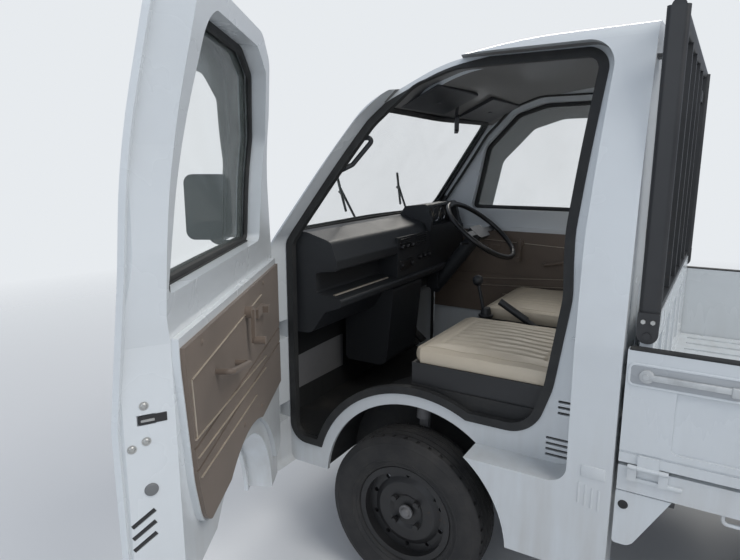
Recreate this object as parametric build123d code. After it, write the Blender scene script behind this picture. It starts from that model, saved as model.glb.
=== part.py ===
from build123d import *
import math
import os

# Kei truck with a drop-gate bed, passenger door open. Millimetres, +Z up, forward is -X and
# the left side is -Y. The origin is on the ground, on the centre plane, halfway along.
# Places along the truck are given as s, the distance behind the foremost point, and depths
# are measured inwards from the outer face of the cab's side.
# Outline tables hold (s or y, z, corner radius) unless a comment says otherwise.

LENGTH = 3295.0
WIDTH = 1395.0
WHEELBASE = 1850.0
FRONT_AXLE_S = 665.0
TRACK = 1210.0
AXLE_Z = 272.0
RUN_GAP = 0.3

# Cab shell
CAB_REAR_S = 1287.0
CAB_BOTTOM_Z = 300.0
NOSE_S = 24.0
CAB_HALF = WIDTH / 2 - 1.0
CAB_WALL = 32.0
CAB_CORNER_R = 44.0
CROWN_RADIUS = 10000.0
ROOF_Z = 1752.0
BELT_Z = 1172.0
SHOULDER = 15.0
ROOF_LEAN = 168.0
ARCH_R = 350.0
BACK_WALL_Z = 520.0
PANEL_SPLIT_S = 62.0
ROOF_SPLIT_HALF = CAB_HALF - 176.0
GLASS_DEPTH = 10.0
GLASS_THICK = 5.0

# Doors
DOOR_DEPTH = 96.0
FRAME_DEPTH = 72.0
DOOR_GAP = 10.0
DOOR_FRONT_S = 162.0
DOOR_REAR_S = 1162.0
DOOR_TOP_Z = ROOF_Z - 54.0
DOOR_SILL_Z = 560.0
DOOR_TOE_Z = 306.0
DOOR_ARCH_R = 362.0
DOOR_SKIN = 12.0
DOOR_SETBACK = 9.0
DOOR_ARCH_BACK = 16.0
JAMB_GAP = 10.0
FLANGE_THICK = 14.0
SEAL_WIDE = 26.0
SEAL_LAP = 20.0
SEAL_THICK = 5.0
SEAL_LIP = 3.0
PANEL_RISE = 14.0
PANEL_IN = 34.0
TRIM_IN = 38.0
TRIM_THICK = 9.0
TRIM_TOP_Z = BELT_Z - 102.0
TRIM_BOTTOM_Z = 660.0
DOOR_OPEN_ANGLE = 61.0

# Goose-neck door hinges
HINGE_S = 90.0
HINGE_DEPTH = 40.0
HINGE_ZS = (480.0, 790.0)
HINGE_TALL = 44.0
HINGE_PIN_R = 5.0
HINGE_EYE_R = 10.0
NECK_THICK = 8.0
STRIKER_Z = 945.0
STRIKER_DEPTH = 48.0
STRIKER_R = 4.0

# Cab floor
RAIL_Z = 400.0
SHEET = 12.0
FLOOR_Z = RAIL_Z + SHEET
SEATBOX_Z = 690.0
SEATBOX_FRONT_S = 640.0
TUNNEL_HALF = TRACK / 2 - 245.0
HOUSE_R = 365.0
SEAT_CLEAR = 14.0

# Steering wheel and its column
WHEEL_S = 528.0
WHEEL_Y = 330.0
WHEEL_Z = 1098.0
COLUMN_TILT = 52.0
WHEEL_R = 180.0
WHEEL_TUBE = 11.0
COLUMN_R = 32.0

# Wheels
TYRE_R = 272.0
TYRE_WIDTH = 147.0
RIM_R = 152.0
RIM_FLANGE_R = 163.0
RIM_WIDTH = 112.0
RIM_WALL = 8.0
STUB_R = 15.0
KINGPIN_LEAN = 11.0
KINGPIN_OFFSET = 30.0

# Frame
RAIL_OUT = TRACK / 2 - 260.0
RAIL_IN = RAIL_OUT - 55.0
RAIL_HEIGHT = 90.0
RAIL_REAR_Z = 560.0

# Bed
BED_FRONT_S = CAB_REAR_S + 10.0
HEAD_S = BED_FRONT_S + 21.0
HEAD_THICK = 30.0
HEAD_TOP_Z = 1006.0
BED_Z = 660.0
BED_THICK = 34.0
GATE_TOP_Z = 950.0
GATE_BOTTOM_Z = 652.0
GATE_THICK = 28.0
GATE_GAP = 7.0
GATE_CLEAR = 5.5
GATE_PIN_R = 6.0
GATE_PIN_OUT = 4.0
GATE_HINGE_Z = 645.0
STRAP_WIDE = 50.0
SILL_Z = 571.0
SILL_WIDE = 34.0
GUARD_TOP_Z = 1762.0
PLATE_SPACING = 210.0
PLATE_HOLE_R = 3.5
TOW_R = 15.0
TOW_THICK = 12.0
TOW_DROP = 30.0

FRONT = -LENGTH / 2
HALF = WIDTH / 2
REAR_AXLE_S = FRONT_AXLE_S + WHEELBASE
TAIL_S = LENGTH - GATE_PIN_R - GATE_PIN_OUT
GATE_OUT = WIDTH / 2 - GATE_PIN_R - GATE_PIN_OUT
JAMB = DOOR_DEPTH + JAMB_GAP
WALL = JAMB + FLANGE_THICK
INNER_HALF = CAB_HALF - WALL
SIDES = (("left", -1), ("right", 1))

os.makedirs("parts", exist_ok=True)
nodes = {}


def x_at(s):
    return FRONT + s


def outline(points):
    """Closed outline through (a, b, radius) corners, each rounded to its radius."""
    spots = []
    count = len(points)
    for i, (a, b, radius) in enumerate(points):
        corner = Vector(a, b)
        before = Vector(*points[i - 1][:2]) - corner
        after = Vector(*points[(i + 1) % count][:2]) - corner
        if radius <= 0:
            spots.append((corner, None, corner))
            continue
        u, v = before.normalized(), after.normalized()
        half = math.radians(u.get_angle(v)) / 2
        inward = (u + v).normalized()
        centre = corner + inward * (radius / math.sin(half))
        cut = radius / math.tan(half)
        spots.append((corner + u * cut, centre - inward * radius, corner + v * cut))
    edges = []
    for i, (start, middle, end) in enumerate(spots):
        if middle is not None:
            edges.append(ThreePointArc(start, middle, end))
        following = spots[(i + 1) % count][0]
        if (following - end).length > 0.001:
            edges.append(Line(end, following))
    return make_face(edges)


def side_sheet(points):
    return outline([(x_at(s), z, r) for s, z, r in points])


def across(face, y0, y1):
    """Extrudes a side-view face over a width."""
    solid = extrude(Plane.XZ * face, abs(y1 - y0) / 2, both=True)
    return Pos(0, (y0 + y1) / 2, 0) * solid


def side(points, y0, y1):
    return across(side_sheet(points), y0, y1)


def front(points, s0, s1):
    solid = extrude(Plane.YZ * outline(points), (s1 - s0) / 2, both=True)
    return Pos(x_at((s0 + s1) / 2), 0, 0) * solid


def top(points, z0, z1):
    face = outline([(x_at(s), y, r) for s, y, r in points])
    return Pos(0, 0, z0) * extrude(face, z1 - z0)


def box(s0, s1, y0, y1, z0, z1):
    low, high = min(y0, y1), max(y0, y1)
    centre = Pos(x_at((s0 + s1) / 2), (low + high) / 2, (z0 + z1) / 2)
    return centre * Box(s1 - s0, high - low, z1 - z0)


def rod(p, q, radius):
    """A cylinder between two (s, y, z) points."""
    a = Vector(x_at(p[0]), p[1], p[2])
    b = Vector(x_at(q[0]), q[1], q[2])
    plane = Plane(origin=a, z_dir=b - a)
    return extrude(plane * Circle(radius), (b - a).length)


def disc(s, z, radius, y0, y1):
    return rod((s, min(y0, y1), z), (s, max(y0, y1), z), radius)


def bent(points, radius, bend):
    """A round bar through (s, y, z) points with rounded bends."""
    spots = [(x_at(s), y, z) for s, y, z in points]
    path = FilletPolyline(*spots, radius=bend)
    return sweep(Plane(origin=path @ 0, z_dir=path % 0) * Circle(radius), path)


def mirror_y(shape):
    return mirror(shape, Plane.XZ)


def sided(shape, sign):
    return shape if sign > 0 else mirror_y(shape)


def keep(name, *shapes):
    solids = []
    for shape in shapes:
        solids += list(shape.solids())
    nodes[name] = solids




# Cab: a side profile revolved about a low axis, which crowns roof and windscreen, crossed
# with a front profile that steps in at the shoulder and leans in to the roof
SCREEN_FOOT = (112.0, 1130.0)
SCREEN_HEAD = (468.0, ROOF_Z - 154)
CAB_SIDE = (
    (CAB_REAR_S, CAB_BOTTOM_Z - WALL, 0),
    (NOSE_S, CAB_BOTTOM_Z - WALL, 0),
    (NOSE_S, 640, 900),
    (*SCREEN_FOOT, 260),
    (*SCREEN_HEAD, 260),
    (690, ROOF_Z - 46, 500),
    (950, ROOF_Z - 4, 1500),
    (CAB_REAR_S, ROOF_Z + 4, 0),
)
CAB_FRONT = (
    (CAB_HALF - 6, CAB_BOTTOM_Z - WALL, 0),
    (CAB_HALF, 700, 2500),
    (CAB_HALF, 935, 250),
    (CAB_HALF - SHOULDER, 1060, 250),
    (CAB_HALF - SHOULDER - 45, ROOF_Z - 332, 1500),
    (CAB_HALF - ROOF_LEAN, ROOF_Z + 60, 0),
)
DOOR_FRONT = (
    (CAB_HALF - DOOR_DEPTH, CAB_BOTTOM_Z - WALL, 0),
    (CAB_HALF - DOOR_DEPTH, 1132, 250),
    (CAB_HALF - SHOULDER - 45 - FRAME_DEPTH, ROOF_Z - 332, 1500),
    (CAB_HALF - ROOF_LEAN - FRAME_DEPTH, ROOF_Z + 60, 0),
)


def widths(half_profile, inset):
    """The space between both sides, whose right half has the given front profile."""
    left = tuple((-y, z, r) for y, z, r in reversed(half_profile))
    face = outline(half_profile + left)
    if inset:
        face = offset(face, -inset)
    return extrude(Plane.YZ * face, LENGTH / 2, both=True)


def cab_width(inset):
    return widths(CAB_FRONT, inset)


def door_width(inset):
    """The space between the doors' inner faces, narrowed by an inset."""
    return widths(DOOR_FRONT, inset)


def cab_length(inset):
    face = side_sheet(CAB_SIDE)
    if inset:
        face = offset(face, -inset)
    axis = Axis((0, 0, ROOF_Z - CROWN_RADIUS), (1, 0, 0))
    arc = 2 * math.degrees(math.asin((CAB_HALF + 66) / (CROWN_RADIUS - ROOF_Z)))
    return revolve((Plane.XZ * face).rotate(axis, -arc / 2), axis, arc)


def is_corner(edge):
    """Whether an edge joins the cab's side to its nose, windscreen or roof."""
    centre = edge.center()
    if abs(centre.Y) < CAB_HALF - 220 or centre.X > x_at(CAB_REAR_S) - 1:
        return False
    if abs(centre.Z - CAB_BOTTOM_Z) < 1:
        return False
    if edge.geom_type == GeomType.LINE and abs((edge @ 1 - edge @ 0).X) > 900:
        return False
    return abs((edge % 0.5).X) < 0.999 or centre.Z > ROOF_Z - 80


cab_block = cab_length(0) & cab_width(0)
cab_block = cab_block & box(-50, CAB_REAR_S + 10, -2 * HALF, 2 * HALF, CAB_BOTTOM_Z, 2 * ROOF_Z)
cab_outer = fillet([edge for edge in cab_block.edges() if is_corner(edge)], CAB_CORNER_R)


cab_inner = cab_length(CAB_WALL) & door_width(WALL - DOOR_DEPTH)
shell = cab_outer - cab_inner


def layer(start, stop):
    """The side walls between two depths below their outer face."""
    return cab_width(start) - cab_width(stop)


def inner_layer(start, stop):
    """The side walls between two depths below the doors' inner faces."""
    return door_width(start) - door_width(stop)


# Door, seal and window outlines in the side view
DOOR_EDGE = (
    (DOOR_FRONT_S, DOOR_TOE_Z, 25),
    (DOOR_FRONT_S, 1128, 60),
    (198, 1172, 60),
    (457, ROOF_Z - 224, 200),
    (592, ROOF_Z - 102, 150),
    (724, DOOR_TOP_Z - 4, 200),
    (DOOR_REAR_S + 26, DOOR_TOP_Z, 60),
    (DOOR_REAR_S - 2, 1215, 900),
    (DOOR_REAR_S, DOOR_SILL_Z, 40),
    (FRONT_AXLE_S, DOOR_SILL_Z, 0),
    (500, DOOR_TOE_Z, 0),
)
SEAL_EDGE = (
    (DOOR_FRONT_S - 7, 382, 70),
    (DOOR_FRONT_S - 6, 1126, 60),
    (190, 1178, 60),
    (450, ROOF_Z - 220, 200),
    (586, ROOF_Z - 96, 150),
    (722, DOOR_TOP_Z + 3, 200),
    (DOOR_REAR_S + 12, DOOR_TOP_Z + 5, 60),
    (DOOR_REAR_S - 32, 1215, 500),
    (DOOR_REAR_S - 24, 1040, 300),
    (DOOR_REAR_S - 62, 770, 250),
    (DOOR_REAR_S - 112, 617, 110),
    (FRONT_AXLE_S, 617, 0),
    (480, 382, 0),
)
SEAL_ARCH_R = 388.0
WINDOW_EDGE = (
    (372, BELT_Z, 18),
    (448, ROOF_Z - 286, 80),
    (604, ROOF_Z - 138, 60),
    (738, ROOF_Z - 98, 150),
    (1094, ROOF_Z - 95, 55),
    (1112, BELT_Z, 18),
)


def door_prism(grow, arch_grow=None):
    """The door's outline through the side wall; positive values make it larger."""
    face = side_sheet(DOOR_EDGE)
    if grow:
        face = offset(face, grow)
    arch_grow = grow if arch_grow is None else arch_grow
    solid = across(face, CAB_HALF - 300, CAB_HALF + 60)
    return solid - disc(FRONT_AXLE_S, AXLE_Z, DOOR_ARCH_R - arch_grow, 0, WIDTH)


def seal_prism(grow):
    """The seal's outline through the side wall, the hole of the doorway inside it."""
    face = side_sheet(SEAL_EDGE)
    if grow:
        face = offset(face, grow)
    solid = across(face, CAB_HALF - 300, CAB_HALF + 60)
    return solid - disc(FRONT_AXLE_S, AXLE_Z, SEAL_ARCH_R - grow, 0, WIDTH)


window_hole = side(WINDOW_EDGE, CAB_HALF - 300, CAB_HALF + 60)
arch_hole = disc(FRONT_AXLE_S, AXLE_Z, ARCH_R, TUNNEL_HALF, CAB_HALF + 60)

# Where the cab's panels meet
door_cut = door_prism(DOOR_GAP, DOOR_ARCH_R - ARCH_R + 8) - door_width(JAMB_GAP)
doorway = seal_prism(-SEAL_LAP) + door_cut
roof_field = box(200, 1400, -ROOF_SPLIT_HALF, ROOF_SPLIT_HALF, ROOF_Z - 166, 2 * ROOF_Z)
roof_field = roof_field + box(300, 640, -ROOF_SPLIT_HALF + 30, ROOF_SPLIT_HALF - 30,
                              ROOF_Z - 200, ROOF_Z - 166)
nose_field = box(-50, PANEL_SPLIT_S, -HALF, HALF, 0, BELT_Z - 20) + box(
    -50, 240, -ROOF_SPLIT_HALF - 42, ROOF_SPLIT_HALF + 42, 0, BELT_Z + 60)
back_half = INNER_HALF + 14
back_field = box(CAB_REAR_S - CAB_WALL, 1400, -back_half, back_half, 0, 2 * ROOF_Z)
right_half = box(-100, 1400, 0, HALF + 60, 0, 2 * ROOF_Z)
SCREEN_EDGE = ((-(INNER_HALF + 18), BELT_Z - 16, 50), (INNER_HALF + 18, BELT_Z - 16, 50),
               (INNER_HALF - 74, ROOF_Z - 176, 60), (-(INNER_HALF - 74), ROOF_Z - 176, 60))
BACK_EDGE = ((-450, 1150, 60), (450, 1150, 60), (425, ROOF_Z - 190, 60),
             (-425, ROOF_Z - 190, 60))
screen_hole = front(SCREEN_EDGE, -50, 640)
back_hole = front(BACK_EDGE, CAB_REAR_S - 60, CAB_REAR_S + 20)

side_right = (shell & right_half) - roof_field - nose_field - back_field - screen_hole
side_right = side_right - doorway - arch_hole

# Goose-neck hinges: a pin in a pocket of the front pillar, open to the doorway. The neck's
# points are (s, depth) with the door shut, and swing clear of the wing's edge.
POCKET = ((76, 26, 0), (124, 25, 4), (DOOR_FRONT_S - 8, 5, 0), (DOOR_FRONT_S - 8, 103, 0),
          (104, 103, 10), (76, 70, 10))
NECK = ((HINGE_S + 6, HINGE_DEPTH + 4), (110, 86), (120, 95), (152, 97), (186, 84), (186, 76),
        (154, 89), (126, 87), (116, 80), (HINGE_S + 9, HINGE_DEPTH - 4))
EYE_GAP = 3.0
pocket_face = [(s, CAB_HALF - depth, r) for s, depth, r in POCKET]
neck_face = [(s, CAB_HALF - depth, 0) for s, depth in NECK]
hinge_y = CAB_HALF - HINGE_DEPTH
necks, pins = [], []
for z in HINGE_ZS:
    side_right = side_right - top(pocket_face, z - EYE_GAP - 8, z + HINGE_TALL + EYE_GAP + 8)
    ends = ((HINGE_S, hinge_y, z), (HINGE_S, hinge_y, z + HINGE_TALL))
    pin = rod((HINGE_S, hinge_y, z - EYE_GAP - 8), (HINGE_S, hinge_y, z + HINGE_TALL + EYE_GAP + 8),
              HINGE_PIN_R)
    pins.append(pin)
    neck = rod(*ends, HINGE_EYE_R) + top(neck_face, z + 6, z + HINGE_TALL - 6)
    necks.append(neck - rod(*ends, HINGE_PIN_R + RUN_GAP))
side_right = side_right + pins

# Air vents in the door's rear pillar: (s, z, width, count); and the lock's striker
VENTS = ((1137, 700, 40, 3), (1122, 568, 66, 4))
VENT_PITCH = 17.0
for vent_s, vent_z, vent_wide, count in VENTS:
    for i in range(count):
        z0 = vent_z + VENT_PITCH * i
        a, b = vent_s - vent_wide / 2, vent_s + vent_wide / 2
        slot = side(((a, z0, 3), (b, z0, 3), (b, z0 + 8, 3), (a, z0 + 8, 3)), 0, CAB_HALF)
        side_right = side_right - (slot - door_width(JAMB_GAP + 8))
striker_y = CAB_HALF - STRIKER_DEPTH
striker = rod((DOOR_REAR_S - 8, striker_y, STRIKER_Z),
              (DOOR_REAR_S + DOOR_GAP + 3, striker_y, STRIKER_Z), STRIKER_R)
side_right = side_right + striker
for name, sign in SIDES:
    keep("cab_side_" + name, sided(side_right, sign))

keep("cab_roof", (shell & roof_field) - screen_hole - doorway - mirror_y(doorway))
nose = (shell & nose_field) - screen_hole
back = (shell & back_field & box(0, 1400, -HALF, HALF, BACK_WALL_Z, 2 * ROOF_Z)) - roof_field
back = back - back_hole
RIB_PITCH = 96.0
for i in range(-5, 6):
    back = back - box(CAB_REAR_S - 5, CAB_REAR_S + 5, i * RIB_PITCH - 22, i * RIB_PITCH + 22,
                      600, 1080)
keep("cab_back", back)
screen = (cab_length(GLASS_DEPTH) - cab_length(GLASS_DEPTH + GLASS_THICK)) & screen_hole
keep("windscreen", screen)
keep("back_window", back_hole & box(CAB_REAR_S - 18, CAB_REAR_S - 13, -HALF, HALF, 900, ROOF_Z))

# Rubber seals on the flange round the doorways
seal = inner_layer(JAMB_GAP - SEAL_THICK, JAMB_GAP) & (seal_prism(0) - seal_prism(-SEAL_WIDE))
seal = seal + (inner_layer(JAMB_GAP, JAMB_GAP + FLANGE_THICK + SEAL_LIP) & (
    seal_prism(-SEAL_LAP) - seal_prism(-SEAL_WIDE)))
seal = seal & cab_length(CAB_WALL / 2) & cab_outer
keep("door_seals", seal, mirror_y(seal))

# Doors, built shut and then the left one swung open. The inner body stands back from the
# skin's edge in front and tapers towards the rear.
TAPER_TOP_Z = BELT_Z + 80


def wedge(*levels):
    """A ruled solid through plan polygons of (s, y) corners, each after its height."""
    faces = [Pos(0, 0, z) * outline([(x_at(s), y, 0) for s, y in spots]) for z, spots in levels]
    return loft(faces, ruled=True)


def taper(edge_s, skin_y, deep, back):
    """Corners of the rear taper: it starts inside the skin and runs forward over a depth."""
    return ((edge_s - 6, skin_y), (edge_s + 80, skin_y + 14), (edge_s + 80, 200),
            (edge_s - back, 200), (edge_s - back, skin_y - deep))


def bevel(skin_y, long):
    """Corners of the front edge's bevel, whose length fades out at the belt."""
    front_s = DOOR_FRONT_S + DOOR_SETBACK - 1
    return ((0, skin_y - 54), (front_s, skin_y - 54), (front_s + long, skin_y - 90), (0, skin_y - 90))


skin_y = CAB_HALF - DOOR_SKIN
rear_taper = wedge((0, taper(DOOR_REAR_S, skin_y, 88, 60)),
                   (BELT_Z - 90, taper(DOOR_REAR_S, skin_y, 88, 60)),
                   (TAPER_TOP_Z, taper(DOOR_REAR_S, skin_y - 42, 64, 34)),
                   (ROOF_Z - 320, taper(DOOR_REAR_S + 6, skin_y - 62, 64, 28)),
                   (ROOF_Z + 60, taper(DOOR_REAR_S + 28, skin_y - ROOF_LEAN, 64, 20)))
toe_bevel = wedge((0, bevel(skin_y, 32)), (BELT_Z - 260, bevel(skin_y, 32)),
                  (BELT_Z - 40, bevel(skin_y, 3)))
door_body = (cab_width(DOOR_SKIN) - door_width(0)) & door_prism(-DOOR_SETBACK, -DOOR_ARCH_BACK)
door_body = door_body - rear_taper - toe_bevel
door_shell = ((layer(0, DOOR_SKIN) & door_prism(0)) + door_body) & cab_outer
door_shell = door_shell - window_hole
panel_field = box(0, 1400, 0, HALF, 0, TRIM_TOP_Z + 18)
panel = inner_layer(0, PANEL_RISE) & seal_prism(-PANEL_IN) & panel_field
door_shell = door_shell + panel
LOUVRES = 3
LOUVRE_Z = 690.0
for i in range(LOUVRES):
    z = LOUVRE_Z + 24 * i
    groove = rod((DOOR_REAR_S - 12, CAB_HALF - 18, z), (DOOR_REAR_S - 34, CAB_HALF - 54, z + 26), 5)
    door_shell = door_shell - groove
latch_slot = side(((DOOR_REAR_S - 40, STRIKER_Z - 10, 0), (DOOR_REAR_S + 9, STRIKER_Z - 10, 0),
                   (DOOR_REAR_S + 9, STRIKER_Z + 10, 0), (DOOR_REAR_S - 40, STRIKER_Z + 10, 0)),
                  striker_y - 60, striker_y + 10)
door_shell = door_shell - latch_slot
HANDLE_S, HANDLE_Z = 1080.0, 1075.0
pocket = side(((HANDLE_S - 62, HANDLE_Z - 24, 10), (HANDLE_S + 62, HANDLE_Z - 24, 10),
               (HANDLE_S + 62, HANDLE_Z + 24, 10), (HANDLE_S - 62, HANDLE_Z + 24, 10)),
              CAB_HALF - 34, CAB_HALF + 20)
handle = box(HANDLE_S - 66, HANDLE_S + 50, CAB_HALF - 24, CAB_HALF - 10, HANDLE_Z - 2,
             HANDLE_Z + 20)
handle = fillet(handle.edges().filter_by(Axis.X), 4)
door_shell = (door_shell - pocket) + handle + necks
panel_depth = DOOR_DEPTH + PANEL_RISE
door_trim = inner_layer(PANEL_RISE, PANEL_RISE + TRIM_THICK) & seal_prism(-TRIM_IN)
door_trim = door_trim & box(0, 1400, 0, HALF, TRIM_BOTTOM_Z, TRIM_TOP_Z)
GROOVES = (800.0, 850.0)
for z in GROOVES:
    door_trim = door_trim - side(((150, z, 0), (1200, z + 6, 0), (1200, z + 12, 0),
                                  (150, z + 6, 0)), CAB_HALF - panel_depth - TRIM_THICK - 5,
                                 CAB_HALF - panel_depth - TRIM_THICK + 3)
trim_face_y = CAB_HALF - panel_depth - TRIM_THICK
pull = bent(((760, trim_face_y + 4, 925), (760, trim_face_y - 36, 925),
             (920, trim_face_y - 36, 960), (920, trim_face_y + 4, 960)), 7, 14)
WINDER_S, WINDER_Z = 640.0, 1020.0
winder = rod((WINDER_S, trim_face_y + 3, WINDER_Z), (WINDER_S, trim_face_y - 18, WINDER_Z), 16)
winder = winder + box(WINDER_S - 8, WINDER_S + 8, trim_face_y - 24, trim_face_y - 14,
                      WINDER_Z - 82, WINDER_Z + 8)
winder = winder + rod((WINDER_S, trim_face_y - 20, WINDER_Z - 76),
                      (WINDER_S, trim_face_y - 50, WINDER_Z - 76), 11)
release = box(460, 540, trim_face_y - 10, trim_face_y + 3, 975, 1000) + box(
    460, 486, trim_face_y - 26, trim_face_y + 3, 978, 997)
door_trim = door_trim + pull + winder + release
door_glass = layer(GLASS_DEPTH + 8, GLASS_DEPTH + GLASS_THICK + 8) & window_hole
MIRROR_S, MIRROR_Z = 262.0, 1262.0
mirror_arm = bent(((MIRROR_S, CAB_HALF - 30, 1150), (MIRROR_S, CAB_HALF + 80, 1150),
                   (MIRROR_S, CAB_HALF + 80, MIRROR_Z - 60)), 8, 30) - cab_width(0)
mirror_head = box(MIRROR_S - 20, MIRROR_S + 18, CAB_HALF + 10, CAB_HALF + 150,
                  MIRROR_Z - 102, MIRROR_Z + 102)
mirror_head = fillet(mirror_head.edges().filter_by(Axis.X), 28)
mirror_head = fillet(mirror_head.faces().sort_by(Axis.X)[0].edges(), 12)
visor_band = offset(side_sheet(WINDOW_EDGE), 12) - Pos(62, -66, 0) * side_sheet(WINDOW_EDGE)
visor_band = visor_band & Pos(x_at(700), 1500, 0) * Rectangle(900, 640)
visor_reach = across(visor_band, CAB_HALF - 300, CAB_HALF + 60)
visor = (cab_width(-18) - cab_width(-15)) & visor_reach
visor_foot = visor_reach - across(offset(side_sheet(WINDOW_EDGE), 8), 0, CAB_HALF + 80)
visor = visor + ((cab_width(-15) - cab_width(-RUN_GAP)) & visor_foot)
door_pin = Axis((x_at(HINGE_S), -hinge_y, 0), (0, 0, 1))
for name, sign in SIDES:
    turn = -DOOR_OPEN_ANGLE if sign < 0 else 0
    for node, shape in (("door_", door_shell), ("door_trim_", door_trim),
                        ("door_glass_", door_glass), ("door_visor_", visor),
                        ("door_mirror_", mirror_arm + mirror_head)):
        keep(node + name, sided(shape, sign).rotate(door_pin, turn))


# Cab floor: pan, wheelhouses, seat box
inside = cab_inner
house = disc(FRONT_AXLE_S, AXLE_Z, HOUSE_R + SHEET, TUNNEL_HALF, CAB_HALF) - disc(
    FRONT_AXLE_S, AXLE_Z, HOUSE_R, TUNNEL_HALF + SHEET, CAB_HALF)
house = house & box(0, 1400, 0, HALF, CAB_BOTTOM_Z, SEATBOX_Z)
pan = box(0, SEATBOX_FRONT_S + SHEET, 0, CAB_HALF, FLOOR_Z - SHEET, FLOOR_Z) - disc(
    FRONT_AXLE_S, AXLE_Z, HOUSE_R, TUNNEL_HALF, CAB_HALF)
pan = pan - box(DOOR_FRONT_S + 5, 330, INNER_HALF - SEAL_LIP - RUN_GAP, CAB_HALF, RAIL_Z, FLOOR_Z)
riser = box(SEATBOX_FRONT_S, SEATBOX_FRONT_S + SHEET, 0, TUNNEL_HALF + SHEET,
            FLOOR_Z - SHEET, SEATBOX_Z)
LID_HALF = INNER_HALF - 8
LEDGE_Z = 617.0
house_hole = disc(FRONT_AXLE_S, AXLE_Z, HOUSE_R, TUNNEL_HALF + SHEET, CAB_HALF)
lid = box(SEATBOX_FRONT_S, 1400, 0, LID_HALF, SEATBOX_Z - SHEET, SEATBOX_Z)
lid = lid + box(SEATBOX_FRONT_S, 1400, LID_HALF - SHEET, LID_HALF, LEDGE_Z - SHEET, SEATBOX_Z)
lid = lid + box(SEATBOX_FRONT_S, 1400, LID_HALF - SHEET, CAB_HALF, LEDGE_Z - SHEET, LEDGE_Z)
lid = lid - house_hole
half_floor = (pan + house + riser + lid) & inside & right_half
keep("cab_floor", half_floor + mirror_y(half_floor))

# Dashboard with its shelf, instrument hood, heater box and steering column
DASH_HALF = INNER_HALF - 8
DASH_EDGE = (
    (20, 1166, 0), (226, 1162, 20), (326, 1134, 25), (350, 1068, 20), (350, 1034, 8),
    (262, 1022, 10), (262, 948, 10), (370, 934, 10), (366, 908, 10), (300, 884, 20),
    (240, 800, 40), (20, 790, 0),
)
HOOD_EDGE = ((190, 1140, 0), (226, 1204, 25), (336, 1216, 14), (356, 1140, 10), (350, 925, 10),
             (250, 925, 0), (250, 1100, 0))
HEATER_EDGE = ((110, 560, 20), (310, 560, 40), (345, 900, 20), (110, 900, 0))
hood_y = (WHEEL_Y - 165, WHEEL_Y + 165)
dash = side(DASH_EDGE, -DASH_HALF, DASH_HALF) & inside
dash = dash + side(HOOD_EDGE, *hood_y) + side(HEATER_EDGE, -150, 110)
dash = dash + box(255, 352, -130, DASH_HALF - 20, 935, 1100)
dial_recess = side(((300, 1120, 8), (300, 1200, 8), (400, 1210, 0), (400, 1120, 0)),
                   hood_y[0] + 22, hood_y[1] - 22)
column_top = Vector(x_at(WHEEL_S), WHEEL_Y, WHEEL_Z)
tilt = math.radians(COLUMN_TILT)
column_dir = Vector(math.cos(tilt), 0, math.sin(tilt))


def column_plane(back):
    """A plane across the steering column, a distance down from the wheel's centre."""
    return Plane(origin=column_top - column_dir * back, x_dir=(math.sin(tilt), 0, -math.cos(tilt)),
                 z_dir=column_dir)


HUB_BACK = 60.0
COLUMN_LONG = 370.0
column = extrude(column_plane(COLUMN_LONG) * Circle(COLUMN_R), COLUMN_LONG - HUB_BACK - RUN_GAP)
column_bracket = box(280, 340, WHEEL_Y - 36, WHEEL_Y + 36, 815, 935)
stalks = []
for hand, reach in ((-1, 125), (1, 150)):
    root = column_top - column_dir * (HUB_BACK + 22)
    stalk = rod((root.X - FRONT, WHEEL_Y, root.Z),
                (root.X - FRONT + 6, WHEEL_Y + hand * reach, root.Z + 14), 5)
    stalks.append(stalk)
keep("dashboard", (dash - dial_recess) + column_bracket + column + stalks)

ring = column_plane(0) * Torus(WHEEL_R, WHEEL_TUBE)
hub = extrude(column_plane(HUB_BACK) * Circle(28), HUB_BACK - 10)
spokes = extrude(column_plane(16) * RectangleRounded(26, 2 * WHEEL_R - 6, 9), 9)
boss = extrude(column_plane(28) * RectangleRounded(70, 130, 16), 22)
keep("steering_wheel", ring + hub + spokes + boss)

# Seats, one each side, on a low black base
SEAT_IN = 85.0
SEAT_OUT = INNER_HALF - SEAT_CLEAR
SEAT_BASE = 72.0
CUSHION_EDGE = (
    (640, SEATBOX_Z + SEAT_BASE + RUN_GAP, 8), (644, 806, 20), (715, 828, 60),
    (1118, 798, 20), (1118, SEATBOX_Z + SEAT_BASE + RUN_GAP, 10),
)
BACKREST_EDGE = (
    (1122, 802, 20), (1168, 1330, 34), (1236, 1330, 20), (1236, SEATBOX_Z, 10),
    (1122, SEATBOX_Z, 10),
)
cushions, bases, backs = [], [], []
for sign in (-1, 1):
    cushion = side(CUSHION_EDGE, sign * SEAT_IN, sign * SEAT_OUT)
    plan = top(((630, sign * SEAT_IN, 40), (1118, sign * SEAT_IN, 40),
                (1118, sign * SEAT_OUT, 40), (630, sign * SEAT_OUT, 40)), SEATBOX_Z, 900)
    cushions.append(cushion & plan)
    bases.append(box(SEATBOX_FRONT_S, 1118, sign * SEAT_IN, sign * SEAT_OUT, SEATBOX_Z,
                     SEATBOX_Z + SEAT_BASE))
    back = side(BACKREST_EDGE, sign * SEAT_IN, sign * SEAT_OUT)
    backs.append(back & door_width(WALL - DOOR_DEPTH + SEAT_CLEAR / 2))
keep("seat_cushions", *cushions)
keep("seat_bases", *bases)
keep("seat_backs", *backs)

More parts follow.
